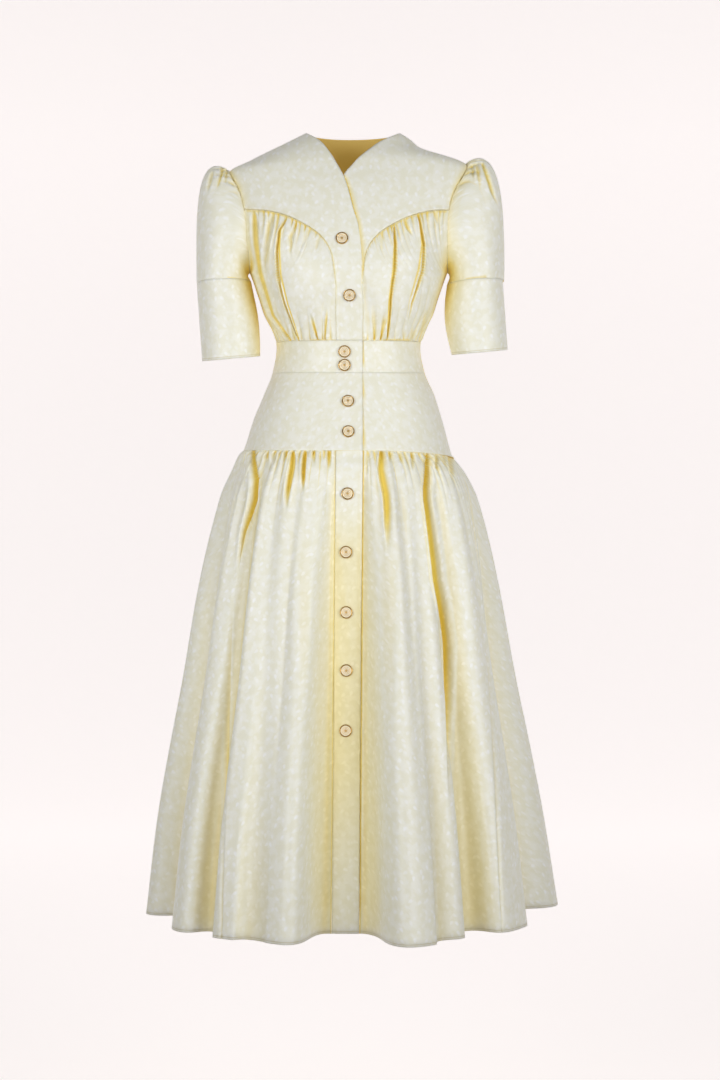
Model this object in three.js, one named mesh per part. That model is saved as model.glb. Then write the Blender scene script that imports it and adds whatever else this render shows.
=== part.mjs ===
// A button-front midi dress, filled out as when it is worn: a crossed V neck on a shaped front yoke, gathered
// bodice, waistband, flared hip yoke, gathered skirt, elbow-length sleeves with a puffed head, and eleven buttons.
//
// Millimetres, +Z up, the front towards -Y. The origin is where the wearer's shoulders hold the dress up: in the
// middle between the outer ends of the shoulder seams. Right and left are the wearer's, so right is at -X.
//
// Every panel is drawn by its four edges on a chart of the figure, as a pattern piece is, and made a closed wall.
// A chart place is [angle, z]: the angle goes round from the centre front (0) over the left side (90) to the
// centre back (180), and -90 is the right side.

import * as THREE from "three";

const radians = THREE.MathUtils.degToRad;

// Cloth
const CLOTH = 1.4; // wall thickness
const SEAM = 0.3; // gap between two pieces at a seam, and between two layers
const LAP = CLOTH + 3 * SEAM; // how far the left front lies under the right front

// Heights of the seams, at the sides and at the centre front
const NECK_POINT = 55;
const WAIST_TOP = { side: -275.5, front: -281 };
const WAIST_BOTTOM = { side: -324, front: -330.5 };
const HIP_SEAM = { right: -446, left: -459, front: -451.5 };
const HEM = -1174;
const UNDERARM = -165;

// The lap of the two fronts
const LAP_EDGE = 21.5; // x of the right front's free edge
const BAND_SEAM = -19.5; // x where the right front's button band is sewn on
const BAND_LEAN = -5.5; // how far the skirt's bands lean to the right by the hem

// The figure and, below the hip seam, the skirt's outermost reach. Half widths are from x = 0 to each side, and
// depths from y = 0 to the front and the back.
const FIGURE = [
  { z: 55, right: 68, left: 80.6, front: 15, back: 56 },
  { z: 45, right: 88, left: 96, front: 28, back: 64 },
  { z: 30, right: 118, left: 116, front: 43, back: 73 },
  { z: 10, right: 157, left: 177, front: 58, back: 81 },
  { z: -6, right: 188, left: 193, front: 66, back: 85 },
  { z: -40, right: 194, left: 191, front: 82, back: 92 },
  { z: -85, right: 192, left: 184, front: 98, back: 99 },
  { z: -121, right: 182, left: 175, front: 108, back: 99 },
  { z: -165, right: 156, left: 155, front: 115, back: 92 },
  { z: -203, right: 142, left: 141, front: 111, back: 85 },
  { z: -232, right: 133, left: 132, front: 103, back: 79 },
  { z: -276.5, right: 115, left: 113.5, front: 92, back: 73 },
  { z: -324.5, right: 121, left: 119.5, front: 89, back: 78 },
  { z: -357, right: 133.4, left: 133.8, front: 97, back: 89 },
  { z: -398, right: 150.6, left: 147, front: 108, back: 104 },
  { z: -446, right: 166, left: 160, front: 122, back: 118 },
  { z: -456, right: 174, left: 164, front: 126, back: 123 },
  { z: -477, right: 184, left: 184, front: 139, back: 136 },
  { z: -510, right: 199, left: 202, front: 149, back: 148 },
  { z: -548, right: 210, left: 214, front: 161, back: 160 },
  { z: -613, right: 226, left: 230, front: 179, back: 178 },
  { z: -683, right: 240, left: 244, front: 197, back: 197 },
  { z: -809, right: 261, left: 266, front: 227, back: 228 },
  { z: -918, right: 282, left: 288, front: 250, back: 252 },
  { z: -1027, right: 301, left: 308, front: 273, back: 275 },
  { z: -1174, right: 319, left: 330, front: 300, back: 303 },
];

// The skirt's large folds at the hem: crests and valleys in turn, round from the right side, each by how far it
// stands out from the figure's reach. The two places at the centre front are the flat floor that the bands lie on.
const SKIRT_FOLDS = [
  { angle: -87, out: 0 },
  { angle: -75, out: -64 },
  { angle: -54, out: -5 },
  { angle: -45.5, out: -42 },
  { angle: -38, out: -8 },
  { angle: -28, out: -24 },
  { angle: -18.5, out: -8 },
  { angle: -7, out: -108 },
  { angle: 4.5, out: -108 },
  { angle: 16, out: 10 },
  { angle: 31, out: -24 },
  { angle: 41, out: -66 },
  { angle: 52, out: -18 },
  { angle: 84, out: -88 },
  { angle: 105, out: 16 },
  { angle: 122, out: -55 },
  { angle: 137, out: -4 },
  { angle: 152, out: -60 },
  { angle: 168, out: 0 },
  { angle: 186, out: -62 },
  { angle: 203, out: 0 },
  { angle: 219, out: -58 },
  { angle: 236, out: 2 },
  { angle: 253, out: -60 },
  { angle: 273, out: 0 },
];
const FOLD_ROLL = 0.07; // how far each fold's flanks close up, as a share of its width

// The yoke's lower edge, from near the armhole to the seam of the button band, as distances from the centre
const YOKE_EDGE = [
  { x: 136, z: -76.5 },
  { x: 115, z: -81 },
  { x: 92, z: -89.5 },
  { x: 72, z: -100 },
  { x: 57, z: -109.5 },
  { x: 44.5, z: -119.5 },
  { x: 34.5, z: -131.5 },
  { x: 27, z: -147 },
  { x: 23, z: -168 },
];
const BAND_TOP = -200; // z where it has turned into the straight band seam

// The neck edges, from the shoulder to where each front's edge runs straight down
const NECK_RIGHT = [
  { x: -68, z: 55 },
  { x: -44.5, z: 36.5 },
  { x: -29, z: 15 },
  { x: -20, z: -1 },
  { x: -8, z: -24.5 },
  { x: -1, z: -46 },
  { x: 8, z: -82 },
  { x: 14, z: -102 },
  { x: 18.5, z: -134 },
  { x: 20.7, z: -165 },
  { x: 21.5, z: -185 },
];
const NECK_LEFT = [
  { x: 80.6, z: 55 },
  { x: 49, z: 36 },
  { x: 33, z: 22.5 },
  { x: 17.5, z: 8.5 },
  { x: 5, z: -6 },
  { x: -8, z: -24.5 },
  { x: -16, z: -60 },
  { x: -19.5, z: -105 },
];

const ARMHOLE_SPREAD = 33; // degrees from the side line to the armhole's front and back edges
const ARMHOLE_STEPS = 12; // steps down each half of an armhole
const SIDE_STEPS = 5; // steps down the side seam from the underarm to the waist
const YOKE_STEPS = 20; // steps along the yoke's lower edge

// Long folds in the gathered bodice fronts: where each starts on the yoke's edge and ends on the waist seam, as
// shares of the panel's width from the band, with its depth and half its width as a share
const BODICE_FOLDS_RIGHT = [
  { top: 0.3, bottom: 0.1, from: 0.62, to: 1.02, depth: 6, width: 0.035 },
  { top: 0.46, bottom: 0.34, from: -0.05, to: 1.02, depth: 9, width: 0.04 },
  { top: 0.57, bottom: 0.5, from: -0.05, to: 0.5, depth: 6, width: 0.04 },
  { top: 0.68, bottom: 0.6, from: -0.05, to: 1.02, depth: 8, width: 0.045 },
];
const BODICE_FOLDS_LEFT = [
  { top: 0.1, bottom: 0.06, from: 0.6, to: 1.02, depth: 5, width: 0.03 },
  { top: 0.33, bottom: 0.2, from: -0.05, to: 1.02, depth: 9, width: 0.04 },
  { top: 0.42, bottom: 0.42, from: -0.05, to: 0.35, depth: 5, width: 0.035 },
  { top: 0.56, bottom: 0.42, from: -0.05, to: 1.02, depth: 9, width: 0.04 },
  { top: 0.72, bottom: 0.66, from: -0.05, to: 0.4, depth: 6, width: 0.04 },
];

// Sleeves: the ring at the seam of the lower panel and the ring at its hem, by middle, half sizes and height.
// tilt is how much higher the outer side is than the inner side, and bow how far the inner side hangs in between.
// tip is the height of the shoulder seam's outer end, and yoke the armhole's turn where the yoke's edge meets it.
const SLEEVES = {
  right: {
    side: -1,
    tip: -6,
    yoke: radians(81),
    bow: 5,
    seam: { x: 197.5, y: 0, z: -182, halfX: 42.5, halfY: 56, tilt: -4 },
    hem: { x: 185, y: -6, z: -302, halfX: 46, halfY: 50, tilt: -8 },
  },
  left: {
    side: 1,
    tip: 6,
    yoke: radians(86.5),
    bow: 7,
    seam: { x: 199, y: 0, z: -182, halfX: 44, halfY: 56, tilt: 6 },
    hem: { x: 206.5, y: -6, z: -292, halfX: 43.5, halfY: 51, tilt: 8 },
  },
};
const PUFF = { out: 60, up: 44, round: 26 }; // how far the sleeve head leads out of the armhole
const SLEEVE_INSET = 1.6; // how far inside the armhole's edge the sleeve starts

// Gathers along each gathered edge
const GATHERS = { skirtFront: 13, skirtBack: 26, bodice: 9, bodiceBack: 14, sleeve: 16 };

// Buttons, from the neck down
const BUTTON_RADIUS = 10;
const BUTTON_SIDES = 12;
const BUTTONS = [
  { x: -10.2, z: -127 },
  { x: 1.3, z: -213.5 },
  { x: -6.4, z: -298 },
  { x: -6.4, z: -319 },
  { x: -1, z: -375.3 },
  { x: -0.4, z: -422.6 },
  { x: -1.5, z: -517.6 },
  { x: -3.8, z: -606.4 },
  { x: -3.4, z: -697.2 },
  { x: -3.2, z: -784.3 },
  { x: -4.1, z: -874 },
];

const CREAM = "#f3ecc4";
const GOLD = "#d4af5e";

// ---- small maths ----

const mix = THREE.MathUtils.lerp;
const clamp = THREE.MathUtils.clamp;

// 0 at from and before it, 1 at to and beyond it, smooth between them; from may be the larger.
function smooth(from, to, x) {
  const t = clamp((x - from) / (to - from), 0, 1);
  return t * t * (3 - 2 * t);
}

// A smooth value between the rows of a table sorted by falling z.
function column(table, name, z) {
  const last = table.length - 1;
  if (z >= table[0].z) return table[0][name];
  if (z <= table[last].z) return table[last][name];
  const i = table.findIndex((row) => row.z < z) - 1;
  const slope = (k) => {
    const a = table[Math.max(k - 1, 0)];
    const b = table[Math.min(k + 1, last)];
    return (b[name] - a[name]) / (b.z - a.z);
  };
  const span = table[i + 1].z - table[i].z;
  const t = (z - table[i].z) / span;
  const start = table[i][name];
  const end = table[i + 1][name];
  const curve = (1 + 2 * t) * (1 - t) ** 2 * start + t * t * (3 - 2 * t) * end;
  return curve + t * (1 - t) * span * ((1 - t) * slope(i) - t * slope(i + 1));
}

// ---- the figure ----

// Half width, and depth to the front or the back, of the figure's section at an angle and height.
function section(angle, z) {
  const turn = radians(angle);
  return {
    across: column(FIGURE, Math.sin(turn) < 0 ? "right" : "left", z),
    deep: column(FIGURE, Math.cos(turn) > 0 ? "front" : "back", z),
  };
}

// The point at a chart place, moved out by that much, square to the section.
function onFigure([angle, z], out = 0) {
  const turn = radians(angle);
  const { across, deep } = section(angle, z);
  const normal = new THREE.Vector3(Math.sin(turn) / across, -Math.cos(turn) / deep, 0).normalize();
  return new THREE.Vector3(across * Math.sin(turn), -deep * Math.cos(turn), z).addScaledVector(normal, out);
}

// The chart place of a point on the front, by its x and z.
function onFront(x, z) {
  const { across } = section(x < 0 ? -90 : 90, z);
  return [THREE.MathUtils.radToDeg(Math.asin(clamp(x / across, -1, 1))), z];
}

// ---- edges on the chart: functions from a share, 0 to 1, to a chart place ----

const straight = (from, to) => (t) => [mix(from[0], to[0], t), mix(from[1], to[1], t)];

// A smooth edge on the front through points given by x and z, moved square to itself by a gap.
function through(points, gap = 0) {
  const curve = new THREE.SplineCurve(points.map(({ x, z }) => new THREE.Vector2(x, z)));
  return (t) => {
    const share = clamp(t, 0, 1);
    const point = curve.getPointAt(share);
    const along = curve.getTangentAt(share);
    return onFront(point.x - along.y * gap, point.y + along.x * gap);
  };
}

// Edges one after another, each taking its steps out of the whole's.
function chain(...parts) {
  const whole = parts.reduce((sum, { steps }) => sum + steps, 0);
  return (t) => {
    let place = clamp(t, 0, 1) * whole;
    for (const { steps, edge } of parts) {
      if (place <= steps || edge === parts[parts.length - 1].edge) return edge(place / steps);
      place -= steps;
    }
    return parts[parts.length - 1].edge(1);
  };
}

// The inside of a panel from its four edges, as a Coons patch: u runs along top and bottom, v from top to bottom.
function patch(top, bottom, start, end) {
  const corners = [top(0), top(1), bottom(0), bottom(1)];
  return (u, v) => {
    const edges = [top(u), bottom(u), start(v), end(v)];
    return [0, 1].map((k) => {
      const ruled = mix(edges[0][k], edges[1][k], v) + mix(edges[2][k], edges[3][k], u);
      return ruled - mix(mix(corners[0][k], corners[1][k], u), mix(corners[2][k], corners[3][k], u), v);
    });
  };
}

// ---- walls ----

// The outward normal of a surface whose u runs round with the angle and whose v runs down.
function normalAt(surface, u, v) {
  const across = 0.002;
  const down = 0.004;
  const du = surface(Math.min(u + across, 1), v).sub(surface(Math.max(u - across, 0), v));
  const dv = surface(u, Math.min(v + down, 1)).sub(surface(u, Math.max(v - down, 0)));
  return dv.cross(du).normalize();
}

// A panel as one closed wall. surface(u, v) is its outer face, and rows lists { v, columns } from its top edge to
// its bottom edge; neighbouring rows may differ in columns. A round panel meets itself at u = 0 and 1. level(v) is
// how far the thickness is laid level, so that the edge along a level seam is square to the seam. With shoulder
// the top edge runs along the shoulder seams at y = 0, which the thickness is square to.
function wall(surface, rows, { level = () => 0, shoulder = false, round = false, flip = false } = {}) {
  const face = (depth) =>
    rows.map(({ v, columns }) =>
      Array.from({ length: columns + 1 }, (_, i) => {
        const u = round ? (i % columns) / columns : i / columns;
        const normal = normalAt(surface, round ? clamp(u, 2e-3, 1 - 2e-3) : u, v);
        const point = surface(u, v);
        if (shoulder && v === 0 && Math.abs(point.y) < 1) normal.setY(0);
        normal.setZ(normal.z * (1 - level(v))).normalize();
        return point.addScaledVector(normal, flip ? depth : -depth);
      }),
    );
  const outer = face(0);
  const inner = face(CLOTH);
  const positions = [];
  const triangle = (a, b, c, turned) => {
    for (const point of turned !== flip ? [a, c, b] : [a, b, c]) positions.push(point.x, point.y, point.z);
  };
  // The strip between two rows of points, taking the next point on whichever row is behind.
  const strip = (upper, lower, turned) => {
    let i = 0;
    let j = 0;
    while (i < upper.length - 1 || j < lower.length - 1) {
      const next = (i + 1) / (upper.length - 1) <= (j + 1) / (lower.length - 1);
      if (next) triangle(upper[i], lower[j], upper[++i], turned);
      else triangle(upper[i], lower[j], lower[++j], turned);
    }
  };
  for (let k = 0; k + 1 < rows.length; k++) {
    strip(outer[k], outer[k + 1], false);
    strip(inner[k], inner[k + 1], true);
  }
  const last = rows.length - 1;
  strip(inner[0], outer[0], false);
  strip(outer[last], inner[last], false);
  if (!round) {
    const side = (grid, end) => grid.map((row) => (end ? row[row.length - 1] : row[0]));
    strip(side(outer, false), side(inner, false), false);
    strip(side(outer, true), side(inner, true), true);
  }
  return new THREE.BufferGeometry().setAttribute("position", new THREE.Float32BufferAttribute(positions, 3));
}

// Rows at even shares from top to bottom, all with the same columns.
const evenRows = (count, columns) => Array.from({ length: count + 1 }, (_, i) => ({ v: i / count, columns }));

// ---- folds and gathers ----

// Wave of a gathered edge, -1 to 1, with a pitch that wanders.
const gatherWave = (u, count) =>
  Math.cos(2 * Math.PI * (count * u + 0.3 * Math.sin(9 * u + 1) + 0.16 * Math.sin(23 * u)));

// How strong gathers are at a distance from their seam: none at the seam, most just past it, then fading.
const gatherFade = (distance, reach) => smooth(0, 12, distance) * Math.exp(-distance / reach);

// How far a bodice panel's thickness is laid level on the way down to the waist seam.
const levelAtWaist = (v) => smooth(0.85, 1, v);

// None at either end of a panel, whole between them.
const insideEnds = (u, margin) => smooth(0, margin, Math.min(u, 1 - u));

// A long fold's trough across a gathered bodice front at (u, v).
function trough(fold, u, v) {
  const away = (u - mix(fold.top, fold.bottom, v)) / fold.width;
  const along = smooth(fold.from, fold.from + 0.12, v) * (1 - smooth(fold.to - 0.12, fold.to, v));
  return -fold.depth * along * Math.exp(-away * away);
}

// ---- seam lines on the chart ----

// Degrees either side of a side seam that leave the seam's gap open.
const besideSeam = (which, z) => THREE.MathUtils.radToDeg(SEAM / 2 / column(FIGURE, which, z));

// How strongly a place faces the front, 0 at the sides and the back to 1 at the centre front.
const facing = (angle) => Math.max(Math.cos(radians(angle)), 0);

const waistTop = (angle) => mix(WAIST_TOP.side, WAIST_TOP.front, facing(angle));
const waistBottom = (angle) => mix(WAIST_BOTTOM.side, WAIST_BOTTOM.front, facing(angle));

function hipSeam(angle) {
  if (angle > 90) return mix(HIP_SEAM.left, HIP_SEAM.right, clamp((angle - 90) / 180, 0, 1));
  return mix(angle < 0 ? HIP_SEAM.right : HIP_SEAM.left, HIP_SEAM.front, facing(angle));
}

// The place on the front just above the waistband at an x.
function aboveWaist(x) {
  const [angle] = onFront(x, WAIST_TOP.front);
  return [angle, waistTop(angle) + SEAM];
}

// How far a left front panel lies in at an angle: under the right front by the centre, level with it further on.
const lapUnder = (angle) => -LAP * (1 - smooth(14, 40, angle));

// The armhole, by its turn from 0 at the shoulder over the front to pi at the underarm.
function armholePlace({ side, tip }, turn, inset = 0) {
  const middle = (tip + UNDERARM) / 2;
  const half = (tip - UNDERARM) / 2 - inset;
  const spread = ARMHOLE_SPREAD - inset / 2.3;
  return [side * (90 - spread * Math.sin(turn)), middle + half * Math.cos(turn)];
}

// The armhole's edge on the front or the back bodice, kept clear of the seams at its top and bottom.
function armholeEdge(sleeve, which, turn) {
  const [angle, z] = armholePlace(sleeve, turn);
  const fromSide = Math.max(90 - Math.abs(angle), 2 * besideSeam(which, z));
  return [sleeve.side * (which === "front" ? 90 - fromSide : 90 + fromSide), z];
}

// The shoulder seam from the neck to the armhole, on its front or its back side.
const shoulderEdge = ({ side, tip }, which) => (t) => {
  const z = mix(NECK_POINT, tip, t);
  const gap = 2 * besideSeam(which, z) * (which === "front" ? 1 : -1);
  return [side * (90 - gap), z];
};

// The side seam from the underarm to the waist.
const sideEdge = (side, which) => (t) => {
  const z = mix(UNDERARM, WAIST_TOP.side + SEAM, t);
  const gap = besideSeam(which, z) * (which === "front" ? 1 : -1);
  return [side * (90 - gap), z];
};

// ---- fronts ----

// The yoke's lower edge from the armhole to the band, and the band's seam below it, with a gap off them.
function yokeSeams(sleeve, gap) {
  const { side } = sleeve;
  const corner = onFigure(armholePlace(sleeve, sleeve.yoke));
  const seamX = side < 0 ? BAND_SEAM : LAP_EDGE;
  const end = { x: seamX, z: BAND_TOP };
  const points = [{ x: corner.x, z: corner.z }, ...YOKE_EDGE.map(({ x, z }) => ({ x: side * x, z })), end];
  const awayX = seamX + side * gap;
  return {
    edge: through(points, side * gap),
    band: straight(onFront(awayX, BAND_TOP), aboveWaist(awayX)),
  };
}

// A front yoke with its band. Its top is the shoulder, its inner edge the neck and the front edge, and its outer
// edge the armhole, the seam to the gathered bodice and the seam of the band.
function yokePatch(sleeve, neck) {
  const { side } = sleeve;
  const seams = yokeSeams(sleeve, 0);
  const edgeX = side < 0 ? LAP_EDGE : BAND_SEAM;
  const last = neck[neck.length - 1];
  const armhole = (t) => armholeEdge(sleeve, "front", sleeve.yoke * t);
  const frontEdge = straight(onFront(last.x, last.z), aboveWaist(edgeX));
  const neckLine = through(neck);
  const neckEdge = (t) => {
    const [angle, z] = neckLine(t);
    const limit = 90 - 2 * besideSeam("front", z);
    return [clamp(angle, -limit, limit), z];
  };
  const inner = chain({ steps: 24, edge: neckEdge }, { steps: 6, edge: frontEdge });
  const outer = chain(
    { steps: ARMHOLE_STEPS / 2, edge: armhole },
    { steps: YOKE_STEPS, edge: seams.edge },
    { steps: 4, edge: seams.band },
  );
  const shoulder = shoulderEdge(sleeve, "front");
  return patch(shoulder, straight(inner(1), outer(1)), inner, outer);
}

// A gathered bodice front. Its top is the seam to the yoke, its inner edge the band's seam, and its outer edge the
// armhole and the side seam.
function bodicePatch(sleeve) {
  const { side } = sleeve;
  const seams = yokeSeams(sleeve, SEAM);
  const armhole = (t) => armholeEdge(sleeve, "front", mix(sleeve.yoke, Math.PI, t));
  const outer = chain(
    { steps: ARMHOLE_STEPS / 2, edge: armhole },
    { steps: SIDE_STEPS, edge: sideEdge(side, "front") },
  );
  const top = (t) => seams.edge(1 - t);
  const waist = (t) => {
    const angle = mix(seams.band(1)[0], outer(1)[0], t);
    return [angle, waistTop(angle) + SEAM];
  };
  const corner = top(1);
  const fromCorner = (t) => (t === 0 ? corner : outer(t));
  return patch(top, waist, seams.band, fromCorner);
}

// The outer face of a gathered bodice front.
function bodiceSurface(sleeve, folds) {
  const places = bodicePatch(sleeve);
  const height = 150;
  return (u, v) => {
    const share = sleeve.side < 0 ? 1 - u : u;
    const place = places(share, v);
    const swell = smooth(0, 0.35, v) * smooth(1, 0.6, v);
    const fullness = 9 * swell * smooth(0.03, 0.25, share) * (1 - smooth(0.7, 1, share));
    const gathers =
      3 * gatherFade(v * height, 22) * smooth(0.8, 0.7, share) + 3 * gatherFade((1 - v) * height, 22);
    const wave = gatherWave(share, GATHERS.bodice) * gathers;
    const troughs = folds.reduce((sum, fold) => sum + trough(fold, share, v), 0);
    const lap = sleeve.side > 0 ? lapUnder(Math.abs(place[0])) : 0;
    const settled = smooth(0, 0.06, Math.min(share - 0.03, 1 - share));
    return onFigure(place, fullness + (wave + troughs * swell) * settled + lap);
  };
}

function frontPieces(name, sleeve, neck, folds) {
  const places = yokePatch(sleeve, neck);
  const yokeSurface = (u, v) => {
    const place = places(sleeve.side < 0 ? 1 - u : u, v);
    return onFigure(place, sleeve.side > 0 ? lapUnder(place[0]) : 0);
  };
  const yokeRows = evenRows(ARMHOLE_STEPS / 2 + YOKE_STEPS + 4, 6);
  const bodiceRows = evenRows(ARMHOLE_STEPS / 2 + SIDE_STEPS, 29);
  bodiceRows[0].columns = YOKE_STEPS;
  return {
    [`yoke_front_${name}`]: wall(yokeSurface, yokeRows, { level: (v) => smooth(0.9, 1, v), shoulder: true }),
    [`bodice_front_${name}`]: wall(bodiceSurface(sleeve, folds), bodiceRows, { level: levelAtWaist }),
  };
}

// ---- back ----

function backPiece() {
  const { left, right } = SLEEVES;
  // An edge on the right half, counted on past the centre back.
  const backLine = (edge) => (t) => {
    const [angle, z] = edge(t);
    return [angle < 0 ? angle + 360 : angle, z];
  };
  const outer = (sleeve) =>
    chain(
      { steps: ARMHOLE_STEPS, edge: backLine((t) => armholeEdge(sleeve, "back", Math.PI * t)) },
      { steps: SIDE_STEPS, edge: backLine(sideEdge(sleeve.side, "back")) },
    );
  const shoulder = (sleeve) => backLine(shoulderEdge(sleeve, "back"));
  const rightShoulder = shoulder(right);
  const leftShoulder = shoulder(left);
  const neck = straight(leftShoulder(0), rightShoulder(0));
  const top = chain(
    { steps: 6, edge: (t) => leftShoulder(1 - t) },
    { steps: 12, edge: neck },
    { steps: 6, edge: rightShoulder },
  );
  const start = outer(left);
  const end = outer(right);
  const bottom = straight(start(1), end(1));
  const places = patch(top, bottom, start, end);
  const surface = (u, v) => {
    const gathers = 3 * gatherFade((1 - v) * 200, 24) * smooth(0.04, 0.12, u) * smooth(0.96, 0.88, u);
    return onFigure(places(u, v), gathers * gatherWave(u, GATHERS.bodiceBack));
  };
  const rows = evenRows(ARMHOLE_STEPS + SIDE_STEPS, 24);
  for (const row of rows) if (row.v > 0.75) row.columns = 44;
  return { bodice_back: wall(surface, rows, { level: levelAtWaist, shoulder: true }) };
}

// ---- waistband and hip yoke ----

const atX = (x) => (z) => onFront(x, z)[0];
const atSide = (angle, which) => (z) => angle + Math.sign(which === "front" ? -angle : 180 - angle) * besideSeam(which, z);

// A band between two heights that vary with the angle, and two upright edges that vary with the height.
function bandPiece(from, to, top, bottom, rows, columns, lap = () => 0) {
  const surface = (u, v) => {
    const middle = mix(from(top(0)), to(top(0)), u);
    const z = mix(top(middle), bottom(middle), v);
    const angle = mix(from(z), to(z), u);
    return onFigure([angle, z], lap(angle));
  };
  return wall(surface, evenRows(rows, columns), { level: () => 1 });
}

function bandPieces() {
  const belowWaist = (angle) => waistBottom(angle) - SEAM;
  const strips = [
    { name: "waistband", top: waistTop, bottom: waistBottom, rows: 2 },
    { name: "hip_yoke", top: belowWaist, bottom: hipSeam, rows: 5 },
  ];
  const pieces = {};
  for (const { name, top, bottom, rows } of strips) {
    const right = [atSide(-90, "front"), atX(LAP_EDGE)];
    const left = [atX(BAND_SEAM), atSide(90, "front")];
    const back = [atSide(90, "back"), atSide(270, "back")];
    pieces[`${name}_front_right`] = bandPiece(...right, top, bottom, rows, 12);
    pieces[`${name}_front_left`] = bandPiece(...left, top, bottom, rows, 12, lapUnder);
    pieces[`${name}_back`] = bandPiece(...back, top, bottom, rows, 20);
  }
  return pieces;
}

// ---- skirt ----

// How far the large folds have grown at a height, from none at the seam to 1 at the hem.
const foldGrowth = (z) => clamp((HIP_SEAM.front - z) / (HIP_SEAM.front - HEM), 0, 1) ** 0.7;

// The skirt's surface at a chart place, with its large folds, moved out by that much more.
function onSkirt([angle, z], out = 0) {
  const turned = angle < SKIRT_FOLDS[0].angle ? angle + 360 : angle;
  const i = clamp(SKIRT_FOLDS.findIndex((fold) => fold.angle > turned), 1, SKIRT_FOLDS.length - 1);
  const from = SKIRT_FOLDS[i - 1];
  const to = SKIRT_FOLDS[i];
  const width = to.angle - from.angle;
  const share = (turned - from.angle) / width;
  const growth = foldGrowth(z);
  const depth = mix(from.out, to.out, (1 - Math.cos(Math.PI * share)) / 2);
  const roll = from.out === to.out ? 0 : FOLD_ROLL * growth * Math.sin(2 * Math.PI * share) * width;
  return onFigure([turned + roll, z], depth * growth + out);
}

// The angle near the centre front where the skirt's surface is at an x.
function skirtAngleAt(x, z) {
  let angle = 0;
  for (let i = 0; i < 12; i++) {
    const here = onSkirt([angle, z]).x;
    const rate = (onSkirt([angle + 0.1, z]).x - here) / 0.1;
    angle += (x - here) / rate;
  }
  return angle;
}

// The angle of a line down the bands, which leans to the right on the way to the hem.
const bandLine = (x) => (z) => {
  const fall = clamp((HIP_SEAM.front - z) / (HIP_SEAM.front - HEM), 0, 1);
  return skirtAngleAt(x + BAND_LEAN * fall, z);
};

// A skirt panel between two upright edges, gathered into the hip seam.
function skirtPanel(from, to, rows, gathers, lap = () => 0) {
  const surface = (u, v) => {
    const middle = mix(from(HIP_SEAM.front), to(HIP_SEAM.front), u);
    const top = hipSeam(middle) - SEAM;
    const z = mix(top, HEM, v);
    const angle = mix(from(z), to(z), u);
    const fall = top - z;
    const wave = gathers ? gatherWave(u, gathers) * 4.6 * gatherFade(fall, 60) * smooth(130, 90, fall) : 0;
    return onSkirt([angle, z], wave * insideEnds(u, 0.04) + lap(angle));
  };
  return wall(surface, rows, { level: () => 1 });
}

function skirtPieces() {
  const height = HIP_SEAM.front - HEM;
  const falls = [0, 8, 22, 50, 100, 190, 330, 510, height];
  const rows = (fine, coarse) =>
    falls.map((fall) => ({ v: fall / height, columns: fall < 90 ? fine : coarse }));
  const underBand = () => -LAP;
  const rightSide = atSide(-90, "front");
  const leftSide = atSide(90, "front");
  return {
    skirt_front_right: skirtPanel(rightSide, bandLine(BAND_SEAM - SEAM), rows(44, 27), GATHERS.skirtFront),
    skirt_band_right: skirtPanel(bandLine(BAND_SEAM), bandLine(LAP_EDGE), rows(3, 3), 0),
    skirt_band_left: skirtPanel(bandLine(BAND_SEAM), bandLine(LAP_EDGE), rows(3, 3), 0, underBand),
    skirt_front_left: skirtPanel(
      bandLine(LAP_EDGE + SEAM),
      leftSide,
      rows(44, 27),
      GATHERS.skirtFront,
      lapUnder,
    ),
    skirt_back: skirtPanel(atSide(90, "back"), atSide(270, "back"), rows(84, 48), GATHERS.skirtBack),
  };
}

// ---- sleeves ----

// A point of a sleeve ring at a turn: 0 is the outer side, a quarter turn the front, a half turn the inner side.
function ringPoint(ring, side, turn) {
  const reach = Math.cos(turn);
  return new THREE.Vector3(
    side * (ring.x + ring.halfX * reach),
    ring.y - ring.halfY * Math.sin(turn),
    ring.z + (ring.tilt / 2) * reach,
  );
}

function sleevePieces(name, sleeve) {
  const { side, seam, hem } = sleeve;
  const turnAt = (u) => 2 * Math.PI * (side < 0 ? -u : u);
  // From the armhole, out over the puffed head, and down to the seam of the lower panel.
  const upper = (u, v) => {
    const turn = turnAt(u);
    const top = (1 + Math.cos(turn)) / 2;
    const start = onFigure(armholePlace(sleeve, turn, SLEEVE_INSET));
    const lead = new THREE.Vector3(
      side * mix(9, PUFF.out, top),
      -PUFF.round * Math.sin(turn) * (0.3 + 0.7 * top),
      mix(-6, PUFF.up, top ** 1.5),
    );
    const end = ringPoint(seam, side, turn);
    const rise = new THREE.Vector3(0, 0, mix(5, 92, top));
    const curve = new THREE.CubicBezierCurve3(start, start.clone().add(lead), end.clone().add(rise), end);
    const point = curve.getPoint(v);
    const gathers = 2.4 * gatherFade(v * 120, 20) * smooth(0.5, 0.8, top);
    const away = new THREE.Vector3(0, -Math.sin(turn), Math.cos(turn));
    return point.addScaledVector(away, gathers * gatherWave(u, GATHERS.sleeve));
  };
  // The lower panel, hanging straight to the hem.
  const lower = (u, v) => {
    const turn = turnAt(u);
    const start = ringPoint({ ...seam, z: seam.z - SEAM }, side, turn);
    const inner = (1 - Math.cos(turn)) / 2;
    const point = start.lerp(ringPoint(hem, side, turn), v);
    return point.setX(point.x - side * sleeve.bow * inner * Math.sin(Math.PI * v));
  };
  const rows = [0, 0.06, 0.15, 0.3, 0.48, 0.66, 0.84, 1].map((v) => ({
    v,
    columns: v > 0 && v < 0.2 ? 48 : ARMHOLE_STEPS * 2,
  }));
  const options = { round: true, flip: true };
  return {
    [`sleeve_${name}`]: wall(upper, rows, options),
    [`cuff_${name}`]: wall(lower, evenRows(3, ARMHOLE_STEPS * 2), options),
  };
}

// ---- buttons ----

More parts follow.
